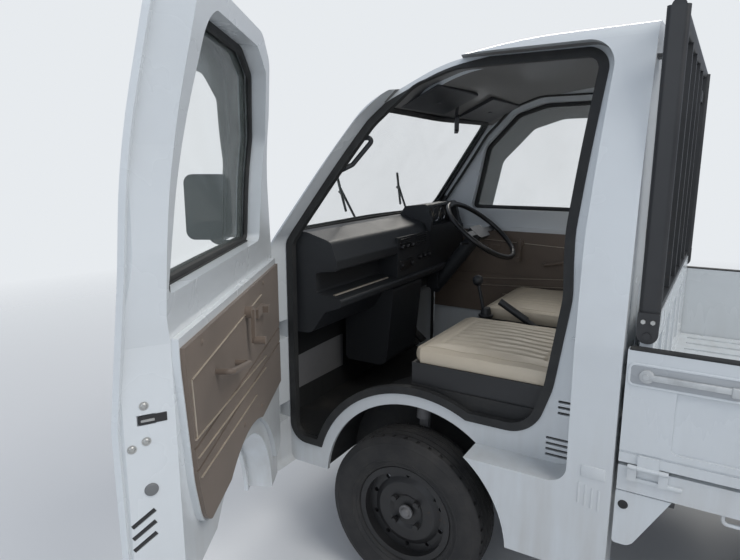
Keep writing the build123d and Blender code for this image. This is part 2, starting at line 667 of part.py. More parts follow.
# Gear lever in its bellows boot, handbrake, pedals
LEVER_S = 672.0
LEVER_Y = 34.0
low = (Align.CENTER, Align.CENTER, Align.MIN)
boot = Pos(x_at(LEVER_S), LEVER_Y, SEATBOX_Z) * Cone(44, 17, 130, align=low)
for i in range(4):
    boot = boot + Pos(x_at(LEVER_S), LEVER_Y, SEATBOX_Z + 14 + 28 * i) * Torus(42 - 6 * i, 6)
gear = boot + rod((LEVER_S - 4, LEVER_Y, SEATBOX_Z + 90), (636, LEVER_Y, 915), 7)
gear = gear + Pos(x_at(633), LEVER_Y, 928) * Sphere(22)
brake_y = 0.0
handbrake = rod((958, brake_y, 735), (740, brake_y, 860), 10) + rod(
    (850, brake_y, 797), (740, brake_y, 860), 14)
handbrake = handbrake + box(905, 990, brake_y - 14, brake_y + 14, SEATBOX_Z, 752)
keep("cab_levers", gear, handbrake)
PEDAL_TOP_Z = 795.7
pedals = []
for y in (175, 245, 315):
    lever = bent(((160, y, PEDAL_TOP_Z), (160, y, 700), (232, y, 560)), 7, 40)
    pad = Pos(x_at(234), y, 555) * Rot(0, 38, 0) * Box(60, 50, 10)
    pedals.append(lever + pad)
keep("pedals", *pedals)

# Sun visors under the header, inside mirror, grab handle on the left windscreen pillar
visors = []
for sign in (-1, 1):
    visor = side(((514, 1574, 5), (652, 1636, 5), (646, 1649, 5), (508, 1587, 5)),
                 sign * 80, sign * 430)
    hanger = box(560, 580, sign * 240, sign * 270, 1600, 1680)
    visors.append((visor + hanger) & inside)
MIRROR_TURN = 24.0
MIRROR_MID = -40.0
stem = rod((560, MIRROR_MID, 1680), (548, MIRROR_MID, 1548), 6)
mirror_glass = box(-7, 7, -100, 100, -30, 30)
mirror_glass = fillet(mirror_glass.edges().filter_by(Axis.X), 14)
mirror_glass = Pos(-FRONT, 0, 0) * mirror_glass
mirror_glass = Pos(x_at(552), MIRROR_MID, 1540) * Rot(0, 0, MIRROR_TURN) * mirror_glass
inside_mirror = (stem + mirror_glass) & inside
grab = bent(((352, -556, 1368), (388, -522, 1392), (466, -506, 1480), (426, -536, 1476)), 8, 12)
keep("cab_fittings", *visors, inside_mirror, (grab & inside) - mirror_y(seal))

# Front end: lamps and grille in recesses of the nose, wipers, bumper
NOSE_DEEP = 14.0


def nose_rect(y, z, wide, tall, radius):
    """A rounded rectangle of the nose's front view, as a table of corners."""
    a, b = wide / 2, tall / 2
    return ((y - a, z - b, radius), (y + a, z - b, radius), (y + a, z + b, radius),
            (y - a, z + b, radius))


# name: y, z, width, height, corner radius, how far the lens stands forward of the nose
LAMP_Y = CAB_HALF - 190.0
HEADLAMP = (LAMP_Y, 640.0, 196.0, 134.0, 18.0, 3.0)
INDICATOR = (LAMP_Y, 532.0, 170.0, 46.0, 12.0, 2.0)
lamps, blinkers = [], []
for sign in (-1, 1):
    for spec, kept in ((HEADLAMP, lamps), (INDICATOR, blinkers)):
        y, z, wide, tall, radius, proud = spec
        outer = front(nose_rect(sign * y, z, wide, tall, radius), -20, NOSE_S + NOSE_DEEP)
        nose = nose - outer
        lens = front(nose_rect(sign * y, z, wide - 14, tall - 14, radius - 6),
                     NOSE_S - proud, NOSE_S + NOSE_DEEP)
        kept.append(lens)
GRILLE_HALF = LAMP_Y - 130.0
GRILLE_Z = 640.0
GRILLE_TALL = 130.0
grille_edge = nose_rect(0, GRILLE_Z, 2 * GRILLE_HALF, GRILLE_TALL, 16)
nose = nose - front(grille_edge, -20, NOSE_S + NOSE_DEEP)
rim_edge = nose_rect(0, GRILLE_Z, 2 * GRILLE_HALF - 30, GRILLE_TALL - 30, 8)
grille = front(grille_edge, NOSE_S - 2, NOSE_S + NOSE_DEEP) - front(rim_edge, -20, NOSE_S + 8)
SLATS = 4
for i in range(SLATS):
    z = GRILLE_Z - GRILLE_TALL / 2 + 15 + (i + 0.5) * (GRILLE_TALL - 30) / SLATS
    slat = front(nose_rect(0, z, 2 * GRILLE_HALF - 28, 9, 0), NOSE_S, NOSE_S + NOSE_DEEP)
    grille = grille + slat
keep("cab_nose", nose)
keep("headlamps", *lamps)
keep("indicators", *blinkers)
keep("front_grille", grille)


def on_screen(y, z, lift):
    """A point at a lift in front of the windscreen's outer face."""
    run, rise = SCREEN_HEAD[0] - SCREEN_FOOT[0], SCREEN_HEAD[1] - SCREEN_FOOT[1]
    slant = math.hypot(run, rise)
    crown = y * y / (2 * (CROWN_RADIUS - ROOF_Z + z))
    s = SCREEN_FOOT[0] + (z + crown - SCREEN_FOOT[1]) * run / rise
    return (s - lift * rise / slant, y, z + lift * run / slant)


wipers = []
for y in (-60, 400):
    z = SCREEN_EDGE[0][1] - 12
    post = rod(on_screen(y, z, -4), on_screen(y, z, 22), 9)
    wiper_arm = rod(on_screen(y, z, 16), on_screen(y - 300, z + 150, 15), 5)
    blade = rod(on_screen(y - 170, z + 62, 5), on_screen(y - 400, z + 205, 5), 5)
    clip = rod(on_screen(y - 292, z + 138, 4), on_screen(y - 292, z + 138, 17), 5)
    wipers.append((post + wiper_arm + blade + clip) - cab_outer - screen)
keep("wipers", *wipers)

BUMPER_Z0, BUMPER_Z1 = 306.0, 442.0
BUMPER_HALF = HALF - 14.0
bumper_plan = ((126, BUMPER_HALF, 0), (44, BUMPER_HALF, 46), (2, 360, 700), (2, -360, 700),
               (44, -BUMPER_HALF, 46), (126, -BUMPER_HALF, 0))
bumper = top(bumper_plan, BUMPER_Z0, BUMPER_Z1)
bumper = fillet(bumper.faces().sort_by(Axis.Z)[-1].edges().filter_by(
    lambda edge: edge.center().X < x_at(120)), 12)
bumper = bumper - cab_outer
PLATE_Z = 374.0
bumper = bumper - front(nose_rect(0, PLATE_Z, 360, 104, 8), -30, 7)
for y in (-PLATE_SPACING / 2, PLATE_SPACING / 2):
    bumper = bumper - rod((0, y, PLATE_Z), (40, y, PLATE_Z), PLATE_HOLE_R)
keep("front_bumper", bumper)

# Chassis frame with its cross members, bed bearers and towing eyes
rail = side(((90, RAIL_Z - RAIL_HEIGHT, 0), (90, RAIL_Z, 0), (1180, RAIL_Z, 60),
             (1420, RAIL_REAR_Z, 60), (LENGTH - 55, RAIL_REAR_Z, 0),
             (LENGTH - 55, RAIL_REAR_Z - RAIL_HEIGHT, 0), (1450, RAIL_REAR_Z - RAIL_HEIGHT, 60),
             (1210, RAIL_Z - RAIL_HEIGHT, 60)), RAIL_IN, RAIL_OUT)
frame = rail + mirror_y(rail)
for s, z in ((110, RAIL_Z - 85), (560, RAIL_Z - 85), (1470, RAIL_REAR_Z - 80),
             (1880, RAIL_REAR_Z - 80), (2300, RAIL_REAR_Z - 80), (3180, RAIL_REAR_Z - 80)):
    frame = frame + box(s, s + 50, -RAIL_IN, RAIL_IN, z, z + 60)
SILL_OUT = GATE_OUT - 6
for s in (1400, 1850, 2350, 2850, 3170):
    frame = frame + box(s, s + 60, -(SILL_OUT - SILL_WIDE), SILL_OUT - SILL_WIDE, RAIL_REAR_Z,
                        BED_Z - BED_THICK)
spare_s, spare_y = 1905.0, -330.0
frame = frame + rod((spare_s, spare_y, 267), (spare_s, spare_y, RAIL_REAR_Z - 80), 14) + rod(
    (spare_s, spare_y, 266), (spare_s, spare_y, 273), 34)
for tip, back in ((96, 1), (LENGTH - 60, -1)):
    for y in (-RAIL_IN - 15, RAIL_IN + 3):
        z = (RAIL_Z if back > 0 else RAIL_REAR_Z) - RAIL_HEIGHT
        mid, drop = tip + back * 30, z - TOW_DROP
        eye = disc(mid, drop, 30, y, y + TOW_THICK) + box(
            mid - 30, mid + 30, y, y + TOW_THICK, drop, z + 4)
        frame = frame + (eye - disc(mid, drop, TOW_R, y - 5, y + TOW_THICK + 5))
JACK_PAD = 10.0
jack_z = RAIL_Z - RAIL_HEIGHT
for y in (-1, 1):
    frame = frame + box(380, 440, y * RAIL_IN, y * RAIL_OUT, jack_z - JACK_PAD, jack_z)
keep("chassis_frame", frame)

# Power unit and driveline
engine_half = RAIL_IN - 60
engine = box(815, 1120, -engine_half, engine_half, 250, 600) + box(1120, 1420, -130, 130, 250, 430)
for y in (-1, 1):
    engine = engine + box(900, 960, y * engine_half, y * RAIL_IN, 320, 380)
keep("engine", engine)
shaft = rod((1415, 0, 330), (REAR_AXLE_S - 115, 0, 290), 30) - engine
keep("propeller_shaft", shaft)

# Rear axle with leaf springs
LEAF_IN = TRACK / 2 - 210
LEAF_OUT = LEAF_IN + 55
axle = disc(REAR_AXLE_S, AXLE_Z, 35, -(TRACK / 2 - 65), TRACK / 2 - 65)
axle = axle + disc(REAR_AXLE_S, AXLE_Z, STUB_R, -(TRACK / 2 + 35), TRACK / 2 + 35)
axle = axle + Pos(x_at(REAR_AXLE_S), 0, AXLE_Z) * Sphere(110)
axle = axle - shaft
for sign in (-1, 1):
    leaf = side(((REAR_AXLE_S - 470, 400, 0), (REAR_AXLE_S - 470, 425, 0), (REAR_AXLE_S, 330, 900),
                 (REAR_AXLE_S + 470, 425, 0), (REAR_AXLE_S + 470, 400, 0),
                 (REAR_AXLE_S, 300, 900)), sign * LEAF_IN, sign * LEAF_OUT)
    saddle = box(REAR_AXLE_S - 45, REAR_AXLE_S + 45, sign * LEAF_IN, sign * LEAF_OUT, AXLE_Z, 345)
    axle = axle + leaf + saddle
    for s in (REAR_AXLE_S - 480, REAR_AXLE_S + 450):
        axle = axle + box(s, s + 30, sign * RAIL_OUT, sign * LEAF_OUT, 400, RAIL_REAR_Z - 20)
keep("rear_axle", axle)

# Kingpin geometry
lean = math.radians(KINGPIN_LEAN)
KING_Y = TRACK / 2 - KINGPIN_OFFSET


def on_kingpin(height):
    """A point of the right kingpin axis at a height."""
    return (FRONT_AXLE_S, KING_Y - (height - AXLE_Z) * math.tan(lean), height)


STRUT_Y = KING_Y - 67
knuckle = rod(on_kingpin(200), on_kingpin(222), 20)
knuckle = knuckle + box(645, 685, KING_Y - 19, KING_Y + 5, 205, 345)
knuckle = knuckle + disc(FRONT_AXLE_S, AXLE_Z, 44, KING_Y - 30, KING_Y + 15)
knuckle = knuckle + disc(FRONT_AXLE_S, AXLE_Z, STUB_R, KING_Y + 5, TRACK / 2 + 35)
knuckle = knuckle + box(650, 680, STRUT_Y - 10, KING_Y + 5, 315, 345)
knuckle = knuckle + box(650, 680, STRUT_Y - 10, STRUT_Y + 10, 315, 600)
knuckle = knuckle + rod(on_kingpin(556), on_kingpin(620), 24)
seat_cap = rod(on_kingpin(620 + RUN_GAP), on_kingpin(680), 45) & disc(
    FRONT_AXLE_S, AXLE_Z, HOUSE_R, 0, HALF)
for name, sign in SIDES:
    keep("knuckle_" + name, sided(knuckle, sign))

arm = rod(on_kingpin(170), on_kingpin(200 - RUN_GAP), 20)
arm = arm + box(610, 720, RAIL_OUT - 15, KING_Y - 145, 178, 190) + box(
    640, 690, KING_Y - 145, KING_Y + 15, 178, 190)
arm = arm + box(610, 720, RAIL_IN, RAIL_OUT - 10, 170, RAIL_Z - RAIL_HEIGHT)
arm = arm + seat_cap
rack = disc(780, 250, 22, -330, 330)
rack = rack + box(760, 800, -300, -280, 250, RAIL_Z - RAIL_HEIGHT) + box(
    760, 800, 280, 300, 250, RAIL_Z - RAIL_HEIGHT)
keep("front_suspension", arm, mirror_y(arm), rack)

# Wheels: a steel rim and its tyre, built about the Y axis
RIM_SECTION = (
    (RIM_R - RIM_WALL, -RIM_WIDTH / 2, 0), (RIM_FLANGE_R, -RIM_WIDTH / 2, 0),
    (RIM_FLANGE_R, -RIM_WIDTH / 2 + 5, 0), (RIM_R, -RIM_WIDTH / 2 + 8, 0),
    (RIM_R, RIM_WIDTH / 2 - 8, 0), (RIM_FLANGE_R, RIM_WIDTH / 2 - 5, 0),
    (RIM_FLANGE_R, RIM_WIDTH / 2, 0), (RIM_R - RIM_WALL, RIM_WIDTH / 2, 0),
    (RIM_R - RIM_WALL, 24, 0), (118, 24, 8), (100, 34, 8), (62, 34, 8), (50, 26, 0),
    (STUB_R + RUN_GAP, 26, 0), (STUB_R + RUN_GAP, -12, 0), (36, -12, 0), (36, 18, 0),
    (98, 22, 8), (114, 12, 8), (RIM_R - RIM_WALL, 12, 0),
)
BEAD_HALF = RIM_WIDTH / 2 - 12
TREAD_HALF = TYRE_WIDTH / 2 - 18.5
TYRE_SECTION = (
    (RIM_R, -BEAD_HALF, 0), (218, -TYRE_WIDTH / 2, 0), (TYRE_R, -TREAD_HALF, 0),
    (TYRE_R, TREAD_HALF, 0), (218, TYRE_WIDTH / 2, 0), (RIM_R, BEAD_HALF, 0),
)
VENT_COUNT, VENT_RING, VENT_R = 10, 125.0, 8.0
NUT_COUNT, NUT_RING, NUT_R = 4, 57.15, 10.5


def turned(section):
    """A section of (radius, width) points revolved about the wheel's axle."""
    face = Plane.YX * outline([(w, r, f) for r, w, f in section])
    return revolve(face, Axis.Y)


rim = turned(RIM_SECTION)
for i in range(VENT_COUNT):
    angle = 2 * math.pi * (i + 0.5) / VENT_COUNT
    x, z = VENT_RING * math.cos(angle), VENT_RING * math.sin(angle)
    rim = rim - extrude(Plane(origin=(x, 0, z), z_dir=(0, 1, 0)) * Circle(VENT_R), 40)
for i in range(NUT_COUNT):
    angle = 2 * math.pi * (i + 0.5) / NUT_COUNT
    x, z = NUT_RING * math.cos(angle), NUT_RING * math.sin(angle)
    rim = rim + extrude(Plane(origin=(x, 24, z), z_dir=(0, 1, 0)) * RegularPolygon(NUT_R, 6), 26)
tyre = turned(TYRE_SECTION)
for end, s in (("front", FRONT_AXLE_S), ("rear", REAR_AXLE_S)):
    for name, sign in SIDES:
        spot = Pos(x_at(s), sign * TRACK / 2, AXLE_Z)
        for node, shape in (("rim_", rim), ("tyre_", tyre)):
            keep(node + end + "_" + name, spot * sided(shape, sign))

# Bed: ribbed floor, side rails, headboard
REAR_SILL_S = TAIL_S - 6
bed_half = GATE_OUT - GATE_THICK - GATE_CLEAR
bed_end_s = TAIL_S - GATE_THICK - GATE_CLEAR
bed = box(HEAD_S, bed_end_s, -bed_half, bed_half, BED_Z - BED_THICK, BED_Z)
GROOVE_PITCH = 90.0
for i in range(-7, 7):
    y = (i + 0.5) * GROOVE_PITCH
    bed = bed - box(HEAD_S + 60, bed_end_s - 30, y - 14, y + 14, BED_Z - 6, BED_Z + 5)
rail_top = GATE_BOTTOM_Z - 12
for y in (-1, 1):
    bed = bed + box(BED_FRONT_S, REAR_SILL_S, y * (SILL_OUT - SILL_WIDE), y * SILL_OUT, SILL_Z,
                    rail_top)
bed = bed + box(REAR_SILL_S - SILL_WIDE, REAR_SILL_S, -SILL_OUT, SILL_OUT, SILL_Z, rail_top)
bed = bed + box(HEAD_S, HEAD_S + 34, -(SILL_OUT - 5), SILL_OUT - 5, SILL_Z, rail_top)
head_half = bed_half
head = box(HEAD_S, HEAD_S + HEAD_THICK, -head_half, head_half, BED_Z - BED_THICK, HEAD_TOP_Z)
HEAD_PANEL = 5
for i in range(HEAD_PANEL):
    pitch = 2 * (head_half - 30) / HEAD_PANEL
    y0 = -(head_half - 30) + i * pitch + 14
    head = head - box(HEAD_S + HEAD_THICK - 7, HEAD_S + HEAD_THICK + 5, y0, y0 + pitch - 28, 715,
                      HEAD_TOP_Z - 70)
bed = bed + head
HOOKS = (1560.0, 2000.0, 2440.0, 2880.0)
for s in HOOKS:
    hook = bent(((s - 22, SILL_OUT - 8, SILL_Z + 8), (s - 22, SILL_OUT - 8, SILL_Z - 24),
                 (s + 22, SILL_OUT - 8, SILL_Z - 24), (s + 22, SILL_OUT - 8, SILL_Z + 8)), 5, 12)
    bed = bed + hook + mirror_y(hook)

gate_s0 = BED_FRONT_S
gate_s1 = TAIL_S - GATE_THICK - GATE_GAP
side_gate = box(gate_s0, gate_s1, GATE_OUT - GATE_THICK, GATE_OUT, GATE_BOTTOM_Z, GATE_TOP_Z)
PRESSING = 6.0
PRESSINGS = 3
gate_long = gate_s1 - gate_s0
for i in range(PRESSINGS):
    pitch = (gate_long - 130) / PRESSINGS
    a = gate_s0 + 100 + i * pitch + 16
    b = a + pitch - 32
    panel_cut = side(((a, 700, 14), (b, 700, 14), (b, 900, 14), (a, 900, 14)),
                     GATE_OUT - PRESSING, GATE_OUT + 10)
    side_gate = side_gate - panel_cut
side_gate = side_gate - box(gate_s0 - 5, gate_s1 + 5, GATE_OUT - 2.5, GATE_OUT + 5, 678, 684)
LATCH_Z = 890.0
latch_recess = side(((gate_s0 + 16, LATCH_Z - 22, 6), (gate_s0 + 92, LATCH_Z - 22, 6),
                     (gate_s0 + 92, LATCH_Z + 22, 6), (gate_s0 + 16, LATCH_Z + 22, 6)),
                    GATE_OUT - 14, GATE_OUT + 10)
side_gate = side_gate - latch_recess
latch = rod((gate_s0 + 30, GATE_OUT - 18, LATCH_Z), (gate_s0 + 30, GATE_OUT - 3, LATCH_Z), 13)
latch = latch + box(gate_s0 + 24, gate_s0 + 84, GATE_OUT - 9, GATE_OUT - 3, LATCH_Z - 9,
                    LATCH_Z + 9)
side_gate = side_gate + latch
tail_half = GATE_OUT - 2
tailgate = box(TAIL_S - GATE_THICK, TAIL_S, -tail_half, tail_half, GATE_BOTTOM_Z, GATE_TOP_Z)
for y0 in (-tail_half + 60, 20):
    cut = front(((y0, 700, 14), (y0 + tail_half - 80, 700, 14), (y0 + tail_half - 80, 900, 14),
                 (y0, 900, 14)), TAIL_S - PRESSING, TAIL_S + 10)
    tailgate = tailgate - cut
gate_pin_y = GATE_OUT + GATE_PIN_OUT
tail_pin_s = TAIL_S + GATE_PIN_OUT


def side_barrel(a, b):
    """A length of the right side gate's hinge line."""
    return rod((a, gate_pin_y, GATE_HINGE_Z), (b, gate_pin_y, GATE_HINGE_Z), GATE_PIN_R)


def tail_barrel(a, b):
    """A length of the tailgate's hinge line."""
    return rod((tail_pin_s, a, GATE_HINGE_Z), (tail_pin_s, b, GATE_HINGE_Z), GATE_PIN_R)


BARREL_LONG = 22.0
for s in (gate_s0 + 45, (gate_s0 + gate_s1) / 2 - 25, gate_s1 - 120):
    strap = box(s, s + STRAP_WIDE, GATE_OUT - 2, gate_pin_y + 2, GATE_HINGE_Z, GATE_BOTTOM_Z + 28)
    side_gate = side_gate + side_barrel(s, s + STRAP_WIDE) + strap
    for a, b in ((s - BARREL_LONG, s - RUN_GAP),
                 (s + STRAP_WIDE + RUN_GAP, s + STRAP_WIDE + BARREL_LONG)):
        lug = side_barrel(a, b) + box(a, b, SILL_OUT - 4, gate_pin_y, GATE_HINGE_Z - 38,
                                      GATE_HINGE_Z)
        bed = bed + lug + mirror_y(lug)
for y in (-450, -25, 400):
    strap = box(TAIL_S - 2, tail_pin_s + 2, y, y + STRAP_WIDE, GATE_HINGE_Z, GATE_BOTTOM_Z + 28)
    tailgate = tailgate + tail_barrel(y, y + STRAP_WIDE) + strap
    for a, b in ((y - BARREL_LONG, y - RUN_GAP),
                 (y + STRAP_WIDE + RUN_GAP, y + STRAP_WIDE + BARREL_LONG)):
        bed = bed + tail_barrel(a, b) + box(REAR_SILL_S - 4, tail_pin_s, a, b,
                                            GATE_HINGE_Z - 38, GATE_HINGE_Z)
for name, sign in SIDES:
    keep("gate_" + name, sided(side_gate, sign))
keep("bed", bed)
keep("tailgate", tailgate)

# Skirts between cab and rear wheels, hung from the side rails
SKIRT_EDGE = ((HEAD_S - 22, SILL_Z - 4, 0), (1426, SILL_Z - 4, 0), (1340, 415, 30),
              (HEAD_S - 22, 415, 10))
skirts = []
for sign in (-1, 1):
    skirt = side(SKIRT_EDGE, sign * (SILL_OUT - 9), sign * (SILL_OUT - 3))
    tab = box(HEAD_S - 10, 1400, sign * (SILL_OUT - 30), sign * (SILL_OUT - 9), SILL_Z - 12, SILL_Z)
    skirts.append(skirt + tab)
keep("bed_skirts", *skirts)

# Guard frame: posts with flattened feet on the headboard, upright bars, stay and tie plate
guard_s = HEAD_S + HEAD_THICK / 2
POST_Y = head_half - 12
BAR_TOP_Z = GUARD_TOP_Z - 16
post_face = outline([(x_at(guard_s - 25), -13, 12), (x_at(guard_s + 25), -13, 12),
                     (x_at(guard_s + 25), 13, 12), (x_at(guard_s - 25), 13, 12)])
guard = rod((guard_s, -POST_Y, BAR_TOP_Z), (guard_s, POST_Y, BAR_TOP_Z), 16)
for sign in (-1, 1):
    post = Pos(0, sign * POST_Y, HEAD_TOP_Z) * extrude(post_face, BAR_TOP_Z - HEAD_TOP_Z)
    foot_y = sign * (head_half + 4)
    foot = side(((guard_s - 25, HEAD_TOP_Z + 30, 0), (guard_s + 25, HEAD_TOP_Z + 30, 0),
                 (guard_s + 25, 962, 24), (guard_s - 25, 962, 24)), foot_y - 4, foot_y + 4)
    bolt = disc(guard_s, 982, 9, foot_y, foot_y + sign * 10)
    neck = box(guard_s - 24, guard_s + 24, sign * (POST_Y - 10), foot_y + sign * 4,
               HEAD_TOP_Z, HEAD_TOP_Z + 34)
    guard = guard + post + foot + bolt + neck
BARS = 6
for i in range(1, BARS):
    y = -POST_Y + 2 * POST_Y * i / BARS
    guard = guard + box(guard_s - 9, guard_s + 9, y - 9, y + 9, HEAD_TOP_Z + 3, BAR_TOP_Z)
guard = guard + box(guard_s - 12, guard_s + 12, -POST_Y, POST_Y, HEAD_TOP_Z, HEAD_TOP_Z + 18)
tie_z = ROOF_Z - 100
for sign in (-1, 1):
    y = sign * (back_half - 60)
    guard = guard + box(CAB_REAR_S, guard_s, y - 25, y + 25, tie_z, tie_z + 8)
    guard = guard + box(guard_s - 8, guard_s + 8, y - 25, sign * POST_Y, tie_z - 20, tie_z + 20)
keep("guard_frame", guard)

# Tail lamps, mudguards, tank, exhaust, spare wheel
tails = []
for sign in (-1, 1):
    tails.append(box(REAR_SILL_S, REAR_SILL_S + 14, sign * 480, sign * (SILL_OUT - 20), 576, 618))
keep("tail_lamps", *tails)
flaps = []
for sign in (-1, 1):
    flaps.append(box(2843, 2850 - RUN_GAP, sign * 520, sign * (SILL_OUT - SILL_WIDE), 230,
                     BED_Z - BED_THICK))
keep("mudguards", *flaps)
tank = box(1480, 1960, 370, 640, 280, 520) + box(1500, 1540, RAIL_OUT, 400, 480, 520) + box(
    1900, 1940, RAIL_OUT, 400, 480, 520)
keep("fuel_tank", tank)
pipe_y = 180.0
pipe = rod((1000, pipe_y, 240), (2300, pipe_y, 300), 20)
pipe = pipe + rod((2280, pipe_y, 300), (2700, pipe_y, 420), 20)
muffler = rod((2680, pipe_y, 420), (3100, pipe_y, 420), 70)
muffler = muffler + rod((3090, pipe_y, 420), (LENGTH - 35, pipe_y, 420), 20)
exhaust = pipe + muffler + box(2870, 2880, pipe_y - 10, pipe_y + 10, 470, RAIL_REAR_Z)
exhaust = exhaust - engine
keep("exhaust", exhaust)
spare = Pos(x_at(spare_s), spare_y, 285) * Rot(90, 0, 0)
keep("spare_wheel", spare * (rim + tyre))

for name, solids in nodes.items():
    shape = solids[0] if len(solids) == 1 else Compound(solids)
    export_step(shape, "parts/" + name + ".step")
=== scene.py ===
import math

import bmesh
import bpy
from mathutils import Matrix, Vector


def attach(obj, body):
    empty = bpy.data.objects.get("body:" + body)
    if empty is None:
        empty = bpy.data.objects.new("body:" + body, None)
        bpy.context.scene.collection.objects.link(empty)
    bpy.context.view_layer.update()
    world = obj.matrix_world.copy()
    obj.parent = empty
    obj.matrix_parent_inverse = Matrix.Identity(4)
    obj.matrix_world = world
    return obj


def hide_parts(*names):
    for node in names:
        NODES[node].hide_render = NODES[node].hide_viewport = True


bl_info = {
    "name": "Kei Truck Dressing",
    "version": (1, 0, 0),
    "blender": (4, 5, 0),
    "location": "View3D > Sidebar > Truck",
    "description": "Dresses the packed kei truck: paint, glass, tyres, seats, trim and the studio",
    "category": "Object",
}

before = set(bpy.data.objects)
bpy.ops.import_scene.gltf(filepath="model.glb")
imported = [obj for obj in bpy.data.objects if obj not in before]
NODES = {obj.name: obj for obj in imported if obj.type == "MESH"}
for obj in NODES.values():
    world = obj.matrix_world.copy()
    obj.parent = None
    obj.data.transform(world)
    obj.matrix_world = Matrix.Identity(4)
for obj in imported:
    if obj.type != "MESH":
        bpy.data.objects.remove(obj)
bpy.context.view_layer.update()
LENGTH = 3295.0
CAB_HALF = 696.5
HINGE = Vector(((90.0 - LENGTH / 2) / 1000, (CAB_HALF - 40.0) / 1000, 0.0))
DOOR_OPEN = math.radians(-61.0)
TRIM_Y = CAB_HALF - 119.0
DOOR_REAR_S = 1162.0


def at(s, y, z):
    """A point from its distance behind the nose, its side offset and height in millimetres."""
    return Vector(((s - LENGTH / 2) / 1000, y / 1000, z / 1000))


# Sizes and colours that a user would change


class TruckSizes(bpy.types.PropertyGroup):
    tread_depth: bpy.props.FloatProperty(
        name="Tread depth", description="Depth of the tyres' grooves", default=0.0065,
        min=0.001, max=0.012, unit="LENGTH")
    tread_pitches: bpy.props.IntProperty(
        name="Tread notches", description="Number of notches round each shoulder of a tyre",
        default=40, min=12, max=60)
    pleat_pitch: bpy.props.FloatProperty(
        name="Pleat pitch", description="Distance between the seams sewn into the seats",
        default=0.040, min=0.02, max=0.08, unit="LENGTH")
    seam_depth: bpy.props.FloatProperty(
        name="Seam depth", description="How far a sewn seam pulls into the padding",
        default=0.0045, min=0.001, max=0.01, unit="LENGTH")
    rubber_bead: bpy.props.FloatProperty(
        name="Rubber bead", description="Half the width of the rubber round the fixed glass",
        default=0.011, min=0.004, max=0.02, unit="LENGTH")
    stage_size: bpy.props.FloatProperty(
        name="Stage size", description="Distance from the truck to the edge of the floor",
        default=24.0, min=6.0, max=60.0, unit="LENGTH")


COLOUR = {"subtype": "COLOR", "size": 3, "min": 0.0, "max": 1.0}


class TruckColours(bpy.types.PropertyGroup):
    body: bpy.props.FloatVectorProperty(
        name="Body paint", description="White of the cab and the load bed",
        default=(0.61, 0.645, 0.67), **COLOUR)
    guard: bpy.props.FloatVectorProperty(
        name="Guard frame", description="Black of the guard frame",
        default=(0.018, 0.019, 0.021), **COLOUR)
    trim: bpy.props.FloatVectorProperty(
        name="Door trim", description="Brown of the door trims",
        default=(0.118, 0.090, 0.070), **COLOUR)
    seat: bpy.props.FloatVectorProperty(
        name="Seats", description="Beige of the seats' vinyl",
        default=(0.56, 0.49, 0.385), **COLOUR)
    floor: bpy.props.FloatVectorProperty(
        name="Floor", description="Pale grey of the studio floor",
        default=(0.72, 0.73, 0.74), **COLOUR)


# Shader maths


class Value:
    """A shader socket that takes part in Python arithmetic."""

    def __init__(self, finish, socket):
        self.finish = finish
        self.socket = socket

    def maths(self, operation, a, b):
        return self.finish.node("Math", {"operation": operation}, {0: a, 1: b})

    def __add__(self, other):
        return self.maths("ADD", self, other)

    __radd__ = __add__

    def __sub__(self, other):
        return self.maths("SUBTRACT", self, other)

    def __rsub__(self, other):
        return self.maths("SUBTRACT", other, self)

    def __mul__(self, other):
        return self.maths("MULTIPLY", self, other)

    __rmul__ = __mul__

    def __truediv__(self, other):
        return self.maths("DIVIDE", self, other)

    def clamped(self):
        settings = {"operation": "ADD", "use_clamp": True}
        return self.finish.node("Math", settings, {0: self, 1: 0.0})

    def ramp(self, low, high):
        """Rises from 0 to 1 between two values."""
        return ((self - low) / (high - low)).clamped()


def opaque(colour):
    return colour if isinstance(colour, Value) else (*colour, 1.0)


